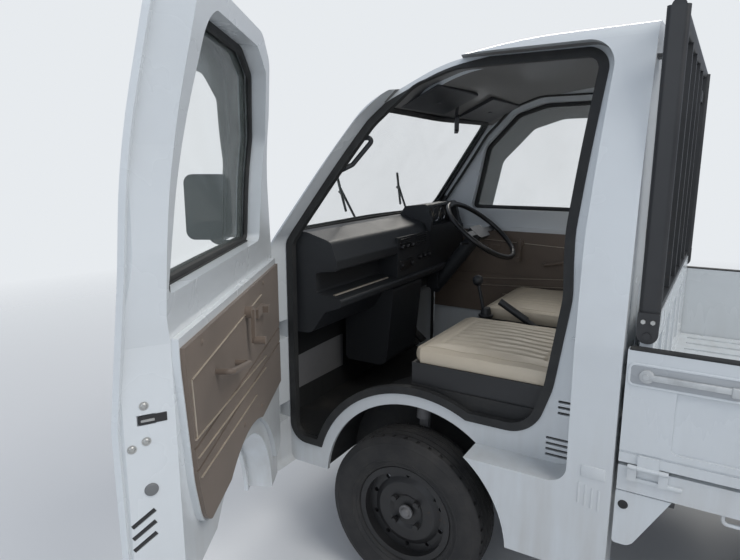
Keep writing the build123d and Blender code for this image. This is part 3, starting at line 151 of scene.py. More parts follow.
class Finish:
    """One procedural material, or the world's background, built from nodes."""

    def __init__(self, name, world=None):
        self.material = world or bpy.data.materials.new(name)
        self.material.use_nodes = True
        self.tree = self.material.node_tree
        self.tree.nodes.clear()
        self.output = self.tree.nodes.new("ShaderNodeOutput" + ("World" if world else "Material"))
        self.place = None if world else self.node("TexCoord", out="Object")

    def node(self, kind, settings=None, sockets=None, out=0):
        made = self.tree.nodes.new("ShaderNode" + kind)
        for key, value in (settings or {}).items():
            setattr(made, key, value)
        for key, value in (sockets or {}).items():
            if isinstance(value, Value):
                self.tree.links.new(value.socket, made.inputs[key])
            elif value is not None:
                made.inputs[key].default_value = value
        return Value(self, made.outputs[out])

    def scaled(self, x, y, z):
        return self.node("Mapping", None, {"Vector": self.place, "Scale": (x, y, z)})

    def noise(self, scale, detail=2.0, rough=0.5, where=None):
        sockets = {"Vector": where or self.place, "Scale": scale, "Detail": detail,
                   "Roughness": rough}
        return self.node("TexNoise", None, sockets)

    def grain(self, scale):
        sockets = {"Vector": self.place, "Scale": scale}
        return self.node("TexVoronoi", {"feature": "F1"}, sockets)

    def axis(self, name, vector=None):
        return self.node("SeparateXYZ", None, {0: vector or self.place}, name)

    def ribs(self, count):
        """Waves across the truck."""
        return self.node("Math", {"operation": "SINE"}, {0: self.axis("Y") * count})

    def facing(self, name):
        return self.axis(name, self.node("NewGeometry", out="Normal"))

    def mix(self, mask, first, second):
        """Colour from first to second as the mask rises."""
        sockets = {0: mask, 6: opaque(first), 7: opaque(second)}
        return self.node("Mix", {"data_type": "RGBA"}, sockets, 2)

    def bump(self, height, strength, distance):
        sockets = {"Strength": strength, "Distance": distance, "Height": height}
        return self.node("Bump", None, sockets)

    def shade(self, **sockets):
        """Finishes the material with one shader; names use underscores for spaces."""
        plain = {key.replace("_", " "): value for key, value in sockets.items()}
        plain["Base Color"] = opaque(plain["Base Color"])
        return self.close(self.node("BsdfPrincipled", None, plain))

    def close(self, shader):
        self.tree.links.new(shader.socket, self.output.inputs["Surface"])
        return self.material


def body_paint(name, colour, lining_and_painted_shade=None, dusty=1.0, lined="Z", sign=-1.0):
    """White enamel with a film of dust low down, and a lining colour on the faces that look
    inwards, which on some panels is painted shade.
    """
    paint = Finish(name)
    cloud = paint.noise(2.6, 4.0, 0.6)
    streak = paint.noise(7.0, 3.0, 0.6, paint.scaled(3.0, 3.0, 0.35))
    height = paint.axis("Z")
    film = (1.0 - height.ramp(0.28, 0.85)) * streak.ramp(0.30, 0.72)
    dust = (film * 0.38 + cloud.ramp(0.52, 0.80) * 0.10) * dusty
    shade = paint.mix(cloud.ramp(0.35, 0.7) * 0.5, colour, [c * 0.955 for c in colour])
    shade = paint.mix(dust, shade, (0.36, 0.33, 0.29))
    rough = 0.24 + dust * 0.55 + cloud * 0.06
    # Faces that look inwards take the lining colour: a real lining on some panels, painted shade
    # on others.
    if lining_and_painted_shade:
        down = (paint.facing(lined) * sign).ramp(0.25, 0.55)
        shade = paint.mix(down, shade, lining_and_painted_shade)
        rough = rough + down * 0.5
    peel = paint.noise(420.0, 2.0)
    return paint.shade(Base_Color=shade, Roughness=rough.clamped(), Coat_Weight=0.35,
                       Coat_Roughness=0.12, Normal=paint.bump(peel, 0.05, 0.0004))


def black_paint(name, colour, rust=0.25):
    """Black enamel on steel with dust, chips and a little rust."""
    paint = Finish(name)
    cloud = paint.noise(5.0, 4.0, 0.6)
    chip = paint.noise(60.0, 4.0, 0.65)
    spots = chip.ramp(0.64, 0.72) * cloud.ramp(0.45, 0.7) * rust
    shade = paint.mix(cloud.ramp(0.35, 0.75) * 0.6, colour, [c + 0.022 for c in colour])
    shade = paint.mix(spots, shade, (0.16, 0.075, 0.035))
    rough = 0.34 + cloud * 0.2 + spots * 0.5
    return paint.shade(Base_Color=shade, Roughness=rough.clamped(),
                       Normal=paint.bump(chip, 0.12, 0.0006))


def dusty_coat(name, colour, dirt, cloud, patches, rough, fine, bump, metallic=0.0):
    """A dark coat or metal, rougher under patches of dirt, and finely pitted.

    cloud and fine are a noise's scale, detail and roughness; patches are the noise where dirt
    starts and is full, and its share; rough is the clean value and its rise under dirt.
    """
    coat = Finish(name)
    low, high, share = patches
    dust = coat.noise(*cloud).ramp(low, high) * share
    clean, rise = rough
    return coat.shade(Base_Color=coat.mix(dust, colour, dirt), Metallic=metallic,
                      Roughness=(clean + dust * rise).clamped(),
                      Normal=coat.bump(coat.noise(*fine), *bump))


def moulded_plastic(name, colour, rough, grain=1.0):
    """Black or coloured plastic with a leather-like grain."""
    plastic = Finish(name)
    cells = plastic.grain(900.0)
    cloud = plastic.noise(9.0, 3.0)
    wear = plastic.noise(30.0, 4.0, 0.6).ramp(0.62, 0.8) * 0.5
    shade = plastic.mix(cloud * 0.6, colour, [c * 1.25 + 0.006 for c in colour])
    shade = plastic.mix(wear, shade, [c * 1.5 + 0.012 for c in colour])
    return plastic.shade(Base_Color=shade, Roughness=(rough + cloud * 0.14).clamped(),
                         Normal=plastic.bump(cells, 0.22 * grain, 0.0006))


def soft_rubber(name):
    """Black sealing rubber, a little chalky where it has weathered."""
    rubber = Finish(name)
    cloud = rubber.noise(14.0, 4.0, 0.6)
    fine = rubber.noise(500.0, 2.0)
    shade = rubber.mix(cloud.ramp(0.4, 0.8) * 0.5, (0.016, 0.017, 0.018),
                       (0.055, 0.055, 0.053))
    return rubber.shade(Base_Color=shade, Roughness=(0.62 + cloud * 0.15).clamped(),
                        Normal=rubber.bump(fine, 0.15, 0.0005))


def door_board(name, colour):
    """Vinyl-faced trim board: fine grain, faint scuffs and paler worn patches."""
    board = Finish(name)
    cells = board.grain(1500.0)
    cloud = board.noise(4.0, 4.0, 0.6)
    scuff = board.noise(28.0, 4.0, 0.7, board.scaled(0.5, 0.5, 2.6)).ramp(0.60, 0.76)
    shade = board.mix(cloud.ramp(0.3, 0.7), colour, [c * 1.30 for c in colour])
    shade = board.mix(scuff * 0.10, shade, [c * 1.7 + 0.02 for c in colour])
    return board.shade(Base_Color=shade, Roughness=(0.46 + cloud * 0.16).clamped(),
                       Sheen_Weight=0.12, Normal=board.bump(cells, 0.28, 0.0005))


def seat_vinyl(name, colour):
    """Beige seat vinyl with a fine leather grain, soiled a little in the folds."""
    vinyl = Finish(name)
    cells = vinyl.grain(720.0)
    crease = vinyl.noise(34.0, 4.0, 0.6)
    cloud = vinyl.noise(6.0, 4.0, 0.6)
    soil = cloud.ramp(0.50, 0.78) * 0.28 + crease.ramp(0.58, 0.76) * 0.14
    shade = vinyl.mix(soil, colour, [c * 0.62 for c in colour])
    grain = vinyl.bump(cells * 0.5 + crease * 0.8, 0.30, 0.0009)
    return vinyl.shade(Base_Color=shade, Roughness=(0.44 + cloud * 0.18).clamped(),
                       Coat_Weight=0.06, Normal=grain)


def rubber_mat(name):
    """Black floor covering, ribbed on the faces that look up."""
    mat = Finish(name)
    ribs = mat.ribs(620.0)
    cloud = mat.noise(8.0, 5.0, 0.65)
    dust = cloud.ramp(0.46, 0.76) * 0.5
    shade = mat.mix(dust, (0.016, 0.017, 0.018), (0.070, 0.064, 0.056))
    up = mat.facing("Z").ramp(0.6, 0.9)
    relief = mat.bump(ribs * up + cloud * 0.4, 0.3, 0.0012)
    return mat.shade(Base_Color=shade, Roughness=(0.66 + dust * 0.2).clamped(), Normal=relief)


def bare_steel(name, colour, rough, metallic=1.0):
    steel = Finish(name)
    cloud = steel.noise(24.0, 4.0, 0.6)
    brushed = steel.noise(300.0, 2.0, 0.5, steel.scaled(1.0, 1.0, 12.0))
    shade = steel.mix(cloud.ramp(0.4, 0.8) * 0.6, colour, [c * 0.55 for c in colour])
    return steel.shade(Base_Color=shade, Metallic=metallic,
                       Roughness=(rough + cloud * 0.22).clamped(),
                       Normal=steel.bump(brushed, 0.08, 0.0004))


def window_glass(name, tint):
    """Thin window glass: a faint green tint with a film of dust, seen mostly by its gloss."""
    glass = Finish(name)
    film = glass.noise(5.0, 4.0, 0.6).ramp(0.45, 0.8) * 0.03
    return glass.shade(Base_Color=tint, Roughness=0.04, IOR=1.45, Alpha=film + 0.10,
                       Specular_IOR_Level=0.9)


def ribbed_lens(name, colour, ribs):
    """Moulded lamp lens with upright flutes."""
    lens = Finish(name)
    flutes = lens.ribs(ribs)
    cloud = lens.noise(12.0, 3.0)
    shade = lens.mix(cloud * 0.5, colour, [c * 0.75 for c in colour])
    return lens.shade(Base_Color=shade, Roughness=(0.08 + cloud * 0.08).clamped(),
                      Coat_Weight=0.8, Normal=lens.bump(flutes, 0.5, 0.002))


def screen_plastic(name):
    smoke = Finish(name)
    cloud = smoke.noise(6.0, 3.0)
    return smoke.shade(Base_Color=smoke.mix(cloud * 0.5, (0.02, 0.022, 0.025), (0.05, 0.05, 0.05)),
                       Roughness=0.12 + cloud * 0.1, Alpha=0.72, Coat_Weight=0.5)


# Each finish: its maker, its title and the maker's values. A word names a panel colour.
FINISHES = {
    "white": (body_paint, "White body paint", "body"),
    # The roof's lining is a real headliner, made dark grey as painted shade.
    "lined": (body_paint, "White paint with roof lining", "body", (0.17, 0.168, 0.165)),
    # On the nose, the black on the faces that look into the cab is painted shade.
    "nose": (body_paint, "White paint with black lining", "body", (0.018, 0.019, 0.020), 1.0,
             "X", 1.0),
    "back": (body_paint, "White paint with grey lining", "body", (0.15, 0.148, 0.145), 1.0,
             "X"),
    "bed": (body_paint, "White bed paint", "body", None, 1.7),
    # A plate a little darker than the body, as painted shade in the latch recess.
    "bay": (body_paint, "Shaded latch bay", (0.36, 0.38, 0.40)),
    "guard": (black_paint, "Black guard paint", "guard"),
    "wheel": (black_paint, "Black wheel paint", (0.013, 0.013, 0.014), 0.35),
    "black metal": (black_paint, "Black metal", (0.014, 0.014, 0.015), 0.0),
    "chassis": (dusty_coat, "Chassis black", (0.022, 0.021, 0.020), (0.085, 0.072, 0.058),
                (6.0, 5.0, 0.65), (0.42, 0.72, 0.6), (0.62, 0.3), (150.0, 3.0), (0.25, 0.0008)),
    "tyre": (dusty_coat, "Tyre rubber", (0.014, 0.014, 0.015), (0.075, 0.070, 0.064),
             (11.0, 5.0, 0.65), (0.40, 0.78, 0.42), (0.72, 0.2), (260.0, 3.0), (0.25, 0.0006)),
    "cast": (dusty_coat, "Cast metal", (0.20, 0.20, 0.205), (0.055, 0.045, 0.035),
             (10.0, 5.0, 0.65), (0.42, 0.70, 0.6), (0.58, 0.3), (180.0, 3.0), (0.4, 0.001), 0.4),
    "glass": (window_glass, "Window glass", (0.50, 0.60, 0.58)),
    "smoke": (screen_plastic, "Smoked visor"),
    "rubber": (soft_rubber, "Black sealing rubber"),
    "plastic": (moulded_plastic, "Black grained plastic", (0.017, 0.019, 0.022), 0.42),
    "grey plastic": (moulded_plastic, "Grey plastic", (0.14, 0.145, 0.15), 0.5),
    "knob": (moulded_plastic, "Smooth black plastic", (0.012, 0.012, 0.013), 0.25, 0.2),
    "dial": (moulded_plastic, "Instrument face", (0.03, 0.03, 0.032), 0.3, 0.1),
    "board": (door_board, "Brown door trim", "trim"),
    "card": (door_board, "Grey kick panel", (0.20, 0.20, 0.205)),
    "seat": (seat_vinyl, "Beige seat vinyl", "seat"),
    "black vinyl": (seat_vinyl, "Black seat vinyl", (0.018, 0.019, 0.021)),
    "mat": (rubber_mat, "Black floor mat"),
    "bright line": (bare_steel, "Pale trim line", (0.62, 0.55, 0.46), 0.3, 0.7),
    "zinc": (bare_steel, "Zinc plated steel", (0.52, 0.52, 0.50), 0.35),
    "pale steel": (bare_steel, "Painted latch steel", (0.55, 0.57, 0.58), 0.4, 0.3),
    "chrome": (bare_steel, "Bright plated steel", (0.72, 0.73, 0.74), 0.10),
    "clear lens": (ribbed_lens, "Headlamp lens", (0.30, 0.345, 0.37), 900.0),
    "amber lens": (ribbed_lens, "Indicator lens", (0.72, 0.24, 0.02), 1300.0),
    "red lens": (ribbed_lens, "Tail lamp lens", (0.42, 0.012, 0.012), 1300.0),
}
MADE = {}


def finish(name):
    """The named finish, made once from the colours in the panel."""
    if name not in MADE:
        maker, title, *values = FINISHES[name]
        tint = bpy.context.scene.truck_colours
        if values and isinstance(values[0], str):
            values[0] = getattr(tint, values[0])
        MADE[name] = maker(title, *values)
    return MADE[name]


# Modelling helpers


def as_mesh(shape, name):
    """The mesh of a shape, which is freed."""
    mesh = bpy.data.meshes.new(name)
    shape.to_mesh(mesh)
    shape.free()
    return mesh


def placed(name, data):
    """A new object in the scene."""
    made = bpy.data.objects.new(name, data)
    bpy.context.scene.collection.objects.link(made)
    return made


def finished(shape, name, look, body, smooth=35, door=None):
    """Turns a bmesh into a named piece with its finish, riding on a body."""
    if door == "left":
        bmesh.ops.scale(shape, vec=(1.0, -1.0, 1.0), verts=shape.verts)
        bmesh.ops.reverse_faces(shape, faces=shape.faces)
        pivot = Vector((HINGE.x, -HINGE.y, 0.0))
        bmesh.ops.rotate(shape, cent=pivot, matrix=Matrix.Rotation(DOOR_OPEN, 3, "Z"),
                         verts=shape.verts)
    bmesh.ops.recalc_face_normals(shape, faces=shape.faces)
    mesh = as_mesh(shape, name)
    mesh.shade_smooth()
    mesh.set_sharp_from_angle(angle=math.radians(smooth))
    piece = placed(name, mesh)
    mesh.materials.append(finish(look))
    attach(piece, body)
    return piece


def soften(shape, edges, offset):
    bmesh.ops.bevel(shape, geom=edges, offset=offset, segments=2, profile=0.5, affect="EDGES",
                    material=-1)


def slab(shape, centre, size, turn=None, soft=0.0):
    """A block with softened edges, added to a shape; centre and size are in metres."""
    place = Matrix.Translation(centre)
    if turn is not None:
        place = place @ turn.to_4x4()
    made = bmesh.ops.create_cube(shape, size=1.0, matrix=place @ Matrix.Diagonal((*size, 1.0)))
    if soft:
        soften(shape, list({e for v in made["verts"] for e in v.link_edges}), soft)


def blocks(name, look, body, parts, door=None, turn=None):
    """A piece made of softened blocks, each given as (centre, size, softness)."""
    shape = bmesh.new()
    for centre, size, soft in parts:
        slab(shape, centre, size, turn, soft)
    return finished(shape, name, look, body, door=door)


def along(direction):
    """A turn that takes +Z to a direction."""
    return Vector(direction).to_track_quat("Z", "Y").to_matrix()


def peg(shape, base, direction, radius, height, sides, tip=None, soft=0.0):
    """A round or many-sided peg standing on a point."""
    direction = Vector(direction).normalized()
    place = Matrix.Translation(base + direction * height / 2) @ along(direction).to_4x4()
    made = bmesh.ops.create_cone(shape, cap_ends=True, segments=sides, radius1=radius,
                                 radius2=radius if tip is None else tip, depth=height,
                                 matrix=place)
    if soft:
        top = [f for f in {f for v in made["verts"] for f in v.link_faces}
               if len(f.verts) == sides and f.normal.dot(direction) > 0.9]
        soften(shape, [e for f in top for e in f.edges], soft)


def screw(shape, base, direction, radius):
    """A domed screw head on a washer."""
    direction = Vector(direction).normalized()
    peg(shape, base, direction, radius * 1.35, 0.0008, 24)
    place = Matrix.Translation(base + direction * 0.0008) @ along(direction).to_4x4()
    bmesh.ops.create_uvsphere(shape, u_segments=20, v_segments=8, radius=radius,
                              matrix=place @ Matrix.Diagonal((1, 1, 0.45, 1)))


def bead(shape, points, wide, tall=None, sides=8, closed=False, up=(0, 0, 1)):
    """A rubber bead, rail or wire through points, with a rounded section across its run."""
    tall = wide if tall is None else tall
    rings = []
    count = len(points)
    for i, point in enumerate(points):
        before = points[i - 1] if (i or closed) else point
        after = points[(i + 1) % count] if (i < count - 1 or closed) else point
        run = (after - before).normalized()
        side = run.cross(Vector(up)).normalized()
        lift = side.cross(run)
        turn = Matrix((side, lift, run)).transposed()
        place = Matrix.Translation(point) @ turn.to_4x4() @ Matrix.Diagonal((wide, tall, 1, 1))
        ring = bmesh.ops.create_circle(shape, cap_ends=False, segments=sides, radius=1.0,
                                       matrix=place)
        rings.append(list({e for v in ring["verts"] for e in v.link_edges}))
    pairs = list(zip(rings, rings[1:]))
    if closed:
        pairs.append((rings[-1], rings[0]))
    for first, second in pairs:
        bmesh.ops.bridge_loops(shape, edges=first + second)
    if not closed:
        for ring in (rings[0], rings[-1]):
            bmesh.ops.contextual_create(shape, geom=ring)


def rounded(points, steps=5):
    """Points round a closed outline of (a, b, radius) corners, each corner a short arc."""
    out = []
    count = len(points)
    for i, (a, b, radius) in enumerate(points):
        corner = Vector((a, b))
        before = Vector(points[i - 1][:2]) - corner
        after = Vector(points[(i + 1) % count][:2]) - corner
        half = before.angle(after) / 2
        inward = (before.normalized() + after.normalized()).normalized()
        centre = corner + inward * (radius / math.sin(half))
        cut = radius / math.tan(half)
        start = corner + before.normalized() * cut - centre
        stop = corner + after.normalized() * cut - centre
        for step in range(steps + 1):
            arm = start.lerp(stop, step / steps).normalized() * radius
            out.append(centre + arm)
    return out


def spaced(points, gap):
    """Closed outline with long sides cut into runs no longer than a gap."""
    out = []
    for i, point in enumerate(points):
        after = points[(i + 1) % len(points)]
        cuts = max(1, int((after - point).length / gap))
        out += [point.lerp(after, k / cuts) for k in range(cuts)]
    return out


def touch(node, origin, direction):
    """Where a line first meets a CAD node."""
    hit, place = NODES[node].ray_cast(Vector(origin), Vector(direction))[:2]
    if not hit:
        raise RuntimeError("nothing of %s lies on the line from %s" % (node, tuple(origin)))
    return place


def on_dashboard(y, z, lift=0.0):
    """A point in front of the dashboard's rear face."""
    return touch("dashboard", at(BEHIND, y, z), (-1, 0, 0)) + Vector((lift, 0, 0))


def spoke(angle):
    return Vector((0, math.cos(angle), math.sin(angle)))


WINDOW_EDGE = ((372, 1172, 18), (448, 1466, 80), (604, 1614, 60), (738, 1654, 150),
               (1094, 1657, 55), (1112, 1172, 18))
SCREEN_EDGE = ((-594.5, 1156, 50), (594.5, 1156, 50), (502.5, 1576, 60), (-502.5, 1576, 60))
BACK_EDGE = ((-450, 1150, 60), (450, 1150, 60), (425, 1562, 60), (-425, 1562, 60))
DOOR_SIDES = (("left", -1), ("right", 1))
OUTSIDE = 900
BEHIND = 700


# Finishes of the CAD nodes; a star stands for left and for right

LOOKS = {
    "nose": "cab_nose",
    "back": "cab_back",
    "white": "cab_side_* door_* gate_* tailgate front_bumper bed_skirts",
    "bed": "bed",
    "lined": "cab_roof",
    "mat": "cab_floor",
    "glass": "windscreen back_window door_glass_*",
    "rubber": "door_seals mudguards",
    "board": "door_trim_*",
    "smoke": "door_visor_*",
    "plastic": "dashboard door_mirror_* cab_fittings front_grille cab_levers",
    "knob": "steering_wheel",
    "black vinyl": "seat_bases",
    "guard": "guard_frame",
    "black metal": "pedals wipers",
    "wheel": "rim_front_* rim_rear_*",
    "tyre": "spare_wheel",
    "chassis": "chassis_frame rear_axle front_suspension propeller_shaft fuel_tank",
    "cast": "engine exhaust knuckle_*",
    "clear lens": "headlamps",
    "amber lens": "indicators",
    "red lens": "tail_lamps",
}


class TRUCK_OT_finishes(bpy.types.Operator):
    """Gives every CAD node its paint, glass, rubber or plastic"""

    bl_idname = "truck.finishes"
    bl_label = "Finishes"

    def execute(self, context):
        for look, names in LOOKS.items():
            both = [names.replace("*", side) for side, sign in DOOR_SIDES]
            for name in set(" ".join(both).split()):
                mesh = NODES[name].data
                mesh.materials.clear()
                mesh.materials.append(finish(look))
        return {"FINISHED"}


# Wheels

WHEELS = [(end + "_" + side, s, sign) for end, s in (("front", 665), ("rear", 2515))
          for side, sign in DOOR_SIDES]
WHEEL_Y, WHEEL_Z = 605, 272
TYRE_WALL = ((152.6, 48), (163.4, 50.5), (167.5, 60), (173, 63.5), (179, 62.5), (188, 67),
             (190, 69.2), (192.5, 69.4), (195, 68.4), (214, 72.6), (232, 72.4), (242, 70.4),
             (244, 71), (247, 70.6), (249, 69), (258, 66), (265, 62.5), (268, 58.5))
GROOVES = ((38, 3.6), (13.5, 3.2))
NOTCH_RADIUS, NOTCH_Y, NOTCH_SHRINK = 0.2665, 0.044, 0.978
BEAD_RADIUS = 0.158


class TRUCK_OT_tyres(bpy.types.Operator):
    """Replaces the plain tyres with ribbed and notched ones"""

    bl_idname = "truck.tyres"
    bl_label = "Tyres"

    def execute(self, context):
        sizes = context.scene.truck_sizes
        for name, s, sign in WHEELS:
            shape = self.tyre(sizes)
            bmesh.ops.translate(shape, vec=at(s, sign * WHEEL_Y, WHEEL_Z), verts=shape.verts)
            piece = finished(shape, "tread_tyre_" + name, "tyre", "wheel_" + name,
                             28)
            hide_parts("tyre_" + name)
        return {"FINISHED"}

    def tyre(self, sizes):
        """A tyre's half section, mirrored and spun, with notches sunk into its shoulders."""
        deep = sizes.tread_depth * 1000
        crown = [(269, 52), (269.8, 44)]
        for centre, half in GROOVES:
            top = 271.9 - centre * centre / 900
            crown += [(top, centre + half), (top - deep, centre + half * 0.55),
                      (top - deep, centre - half * 0.55), (top, centre - half)]
            crown += [(top + 0.4, centre - half - 7.0)]
        half_line = [*TYRE_WALL, *crown]
        line = half_line + [(r, -y) for r, y in reversed(half_line)]
        shape = bmesh.new()
        spots = [shape.verts.new((0.0, y / 1000, r / 1000)) for r, y in line]
        edges = [shape.edges.new(pair) for pair in zip(spots, spots[1:])]
        steps = sizes.tread_pitches * 4
        bmesh.ops.spin(shape, geom=spots + edges, cent=(0, 0, 0), axis=(0, 1, 0),
                       angle=2 * math.pi, steps=steps, use_merge=True, use_duplicate=False)
        bmesh.ops.remove_doubles(shape, verts=shape.verts, dist=0.00005)
        notches = []
        for face in shape.faces:
            middle = face.calc_center_median()
            turn = math.atan2(middle.x, middle.z) / (2 * math.pi) * steps
            reach = math.hypot(middle.x, middle.z)
            if (reach > NOTCH_RADIUS and abs(middle.y) > NOTCH_Y
                    and math.floor(turn) % 4 == 0):
                notches.append(face)
        pressed = bmesh.ops.extrude_face_region(shape, geom=notches)
        sunk = [v for v in pressed["geom"] if isinstance(v, bmesh.types.BMVert)]
        bmesh.ops.delete(shape, geom=notches, context="FACES_ONLY")
        bmesh.ops.scale(shape, vec=(NOTCH_SHRINK, 1.0, NOTCH_SHRINK), verts=sunk)
        rim = [e for e in shape.edges if e.is_boundary
               and math.hypot(e.verts[0].co.x, e.verts[0].co.z) < BEAD_RADIUS]
        bmesh.ops.bridge_loops(shape, edges=rim)
        return shape


class TRUCK_OT_wheel_details(bpy.types.Operator):
    """Adds hub caps and valves"""

    bl_idname = "truck.wheel_details"
    bl_label = "Wheel details"

    def execute(self, context):
        for name, s, sign in WHEELS:
            out = Vector((0, sign, 0))
            cap = bmesh.new()
            hub = at(s, sign * (WHEEL_Y + 35.3), WHEEL_Z)
            peg(cap, hub, out, 0.024, 0.006, 32, soft=0.002)
            peg(cap, hub + out * 0.006, out, 0.018, 0.009, 32, tip=0.013, soft=0.003)
            finished(cap, "hub_cap_" + name, "cast", "wheel_" + name)
            valve = bmesh.new()
            foot = at(s + 100, sign * (WHEEL_Y + 27), WHEEL_Z + 72)
            lean = Vector((0.3, sign, 0.2))
            peg(valve, foot, lean, 0.0055, 0.018, 12, tip=0.004)
            peg(valve, foot + lean.normalized() * 0.018, lean, 0.0042, 0.012, 12, soft=0.001)
            finished(valve, "valve_" + name, "rubber", "wheel_" + name)
        return {"FINISHED"}


# Seats

SEAT_INNER, SEAT_OUTER = 85, 562.5
CUSHION_FRONT, CUSHION_BACK = 640, 1118
CUSHION_LOW, CUSHION_HIGH = 762.5, 806
BACKREST_LOW, BACKREST_HIGH = 692, 1326
BACKREST_REAR = 1234
WELT_DEPTH, WELT_WIDTH = 4.0, 4.5


class TRUCK_OT_seats(bpy.types.Operator):
    """Pleated vinyl covers on the cushions and backrests"""

    bl_idname = "truck.seats"
    bl_label = "Seats"

    def execute(self, context):
        sizes = context.scene.truck_sizes
        piece = self.pair("pleated_cushions", (72, 96, 4), self.cushion, sizes)
        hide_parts("seat_cushions")
        piece = self.pair("pleated_backs", (4, 96, 60), self.backrest, sizes)
        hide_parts("seat_backs")
        return {"FINISHED"}

    def pair(self, name, cuts, form, sizes):
        both = bmesh.new()
        for sign in (-1, 1):
            mesh = as_mesh(self.pad(cuts, form, sizes, sign), "part")
            both.from_mesh(mesh)
            bpy.data.meshes.remove(mesh)
        return finished(both, name, "seat", "root", 50)

    def pad(self, cuts, form, sizes, sign):
        """A unit block cut finely, then given its form from each point's shares u, v and w."""
        shape = bmesh.new()
        bmesh.ops.create_cube(shape, size=1.0)
        for axis, count in zip(Matrix.Identity(3), cuts):
            for i in range(1, count):
                geom = [*shape.verts, *shape.edges, *shape.faces]
                bmesh.ops.bisect_plane(shape, geom=geom, dist=1e-6, plane_no=axis,
                                       plane_co=axis * (i / count - 0.5))
        for vert in shape.verts:
            s, y, z = form(sizes, *(share + 0.5 for share in vert.co))
            vert.co = at(s, sign * y, z)
        if sign < 0:
            bmesh.ops.reverse_faces(shape, faces=shape.faces)
        return shape

    def seam(self, y, sizes):
        """Depth in millimetres of the nearest sewn line, narrow at its bottom."""
        pitch = sizes.pleat_pitch
        near = abs(((y - SEAT_INNER) / 1000 / pitch + 0.5) % 1.0 - 0.5) * pitch
        return 1000 * sizes.seam_depth * math.exp(-((near / 0.0042) ** 2))

    def welt(self, share, lines, span):
        """Depth of the grooves sewn round the pleated field, at shares of a span."""
        return sum(WELT_DEPTH * math.exp(-(((share - line) * span / WELT_WIDTH) ** 2))
                   for line in lines)

    def cushion(self, sizes, u, v, w):
        s = CUSHION_FRONT + (CUSHION_BACK - CUSHION_FRONT) * u
        y = SEAT_INNER + (SEAT_OUTER - SEAT_INNER) * v
        edge = min(u, 1 - u, v, 1 - v)
        crown = 15 * (1 - math.exp(-(edge / 0.09)))
        crown += 7.0 * math.sin(math.pi * u) * math.sin(math.pi * v)
        z = CUSHION_LOW + (CUSHION_HIGH - CUSHION_LOW) * w
        if w > 0.5:
            z += crown * (w - 0.5) * 2 * (1.0 - 0.35 * max(0.0, u - 0.55))
        if w > 0.99:
            if 0.16 < u < 0.86 and 0.17 < v < 0.83:
                z -= self.seam(y, sizes)
            if 0.15 < v < 0.85:
                z -= self.welt(u, (0.16, 0.86), 478)
            if 0.15 < u < 0.87:
                z -= self.welt(v, (0.17, 0.83), 478)
            z += 1.6 * math.sin(s / 23 + v * 5.0) * math.sin(y / 31) * math.sin(math.pi * u)
        bulge = 5.0 * math.sin(math.pi * w)
        corner = 0.055
        pull_u = max(0.0, corner - min(u, 1 - u)) / corner
        pull_v = max(0.0, corner - min(v, 1 - v)) / corner
        inset = 2 * (6.0 - bulge + 12 * pull_u * pull_v)
        if pull_u:
            s += (0.5 - u) * inset
        if pull_v:
            y += (0.5 - v) * inset
        return s, y, z

    def backrest(self, sizes, u, v, w):
        z = BACKREST_LOW + (BACKREST_HIGH - BACKREST_LOW) * w
        face = 1126 + 46 * max(0.0, (z - 802) / 528)
        s = face + (BACKREST_REAR - face) * u
        y = SEAT_INNER + (SEAT_OUTER - SEAT_INNER) * v
        if u < 0.01:
            edge = min(w, 1 - w, v, 1 - v)
            s += 14 * math.exp(-edge / 0.05)
            if 0.2 < w < 0.84 and 0.17 < v < 0.83:
                s += self.seam(y, sizes)
            if 0.15 < v < 0.85:
                s += self.welt(w, (0.2, 0.84), 634)
        corner = 0.06
        pull_w = max(0.0, corner - (1 - w)) / corner
        pull_v = max(0.0, corner - min(v, 1 - v)) / corner
        y += (0.5 - v) * 2 * 14 * pull_v * (0.3 + pull_w)
        return s, y, z - 10 * pull_w * pull_v


# Doors


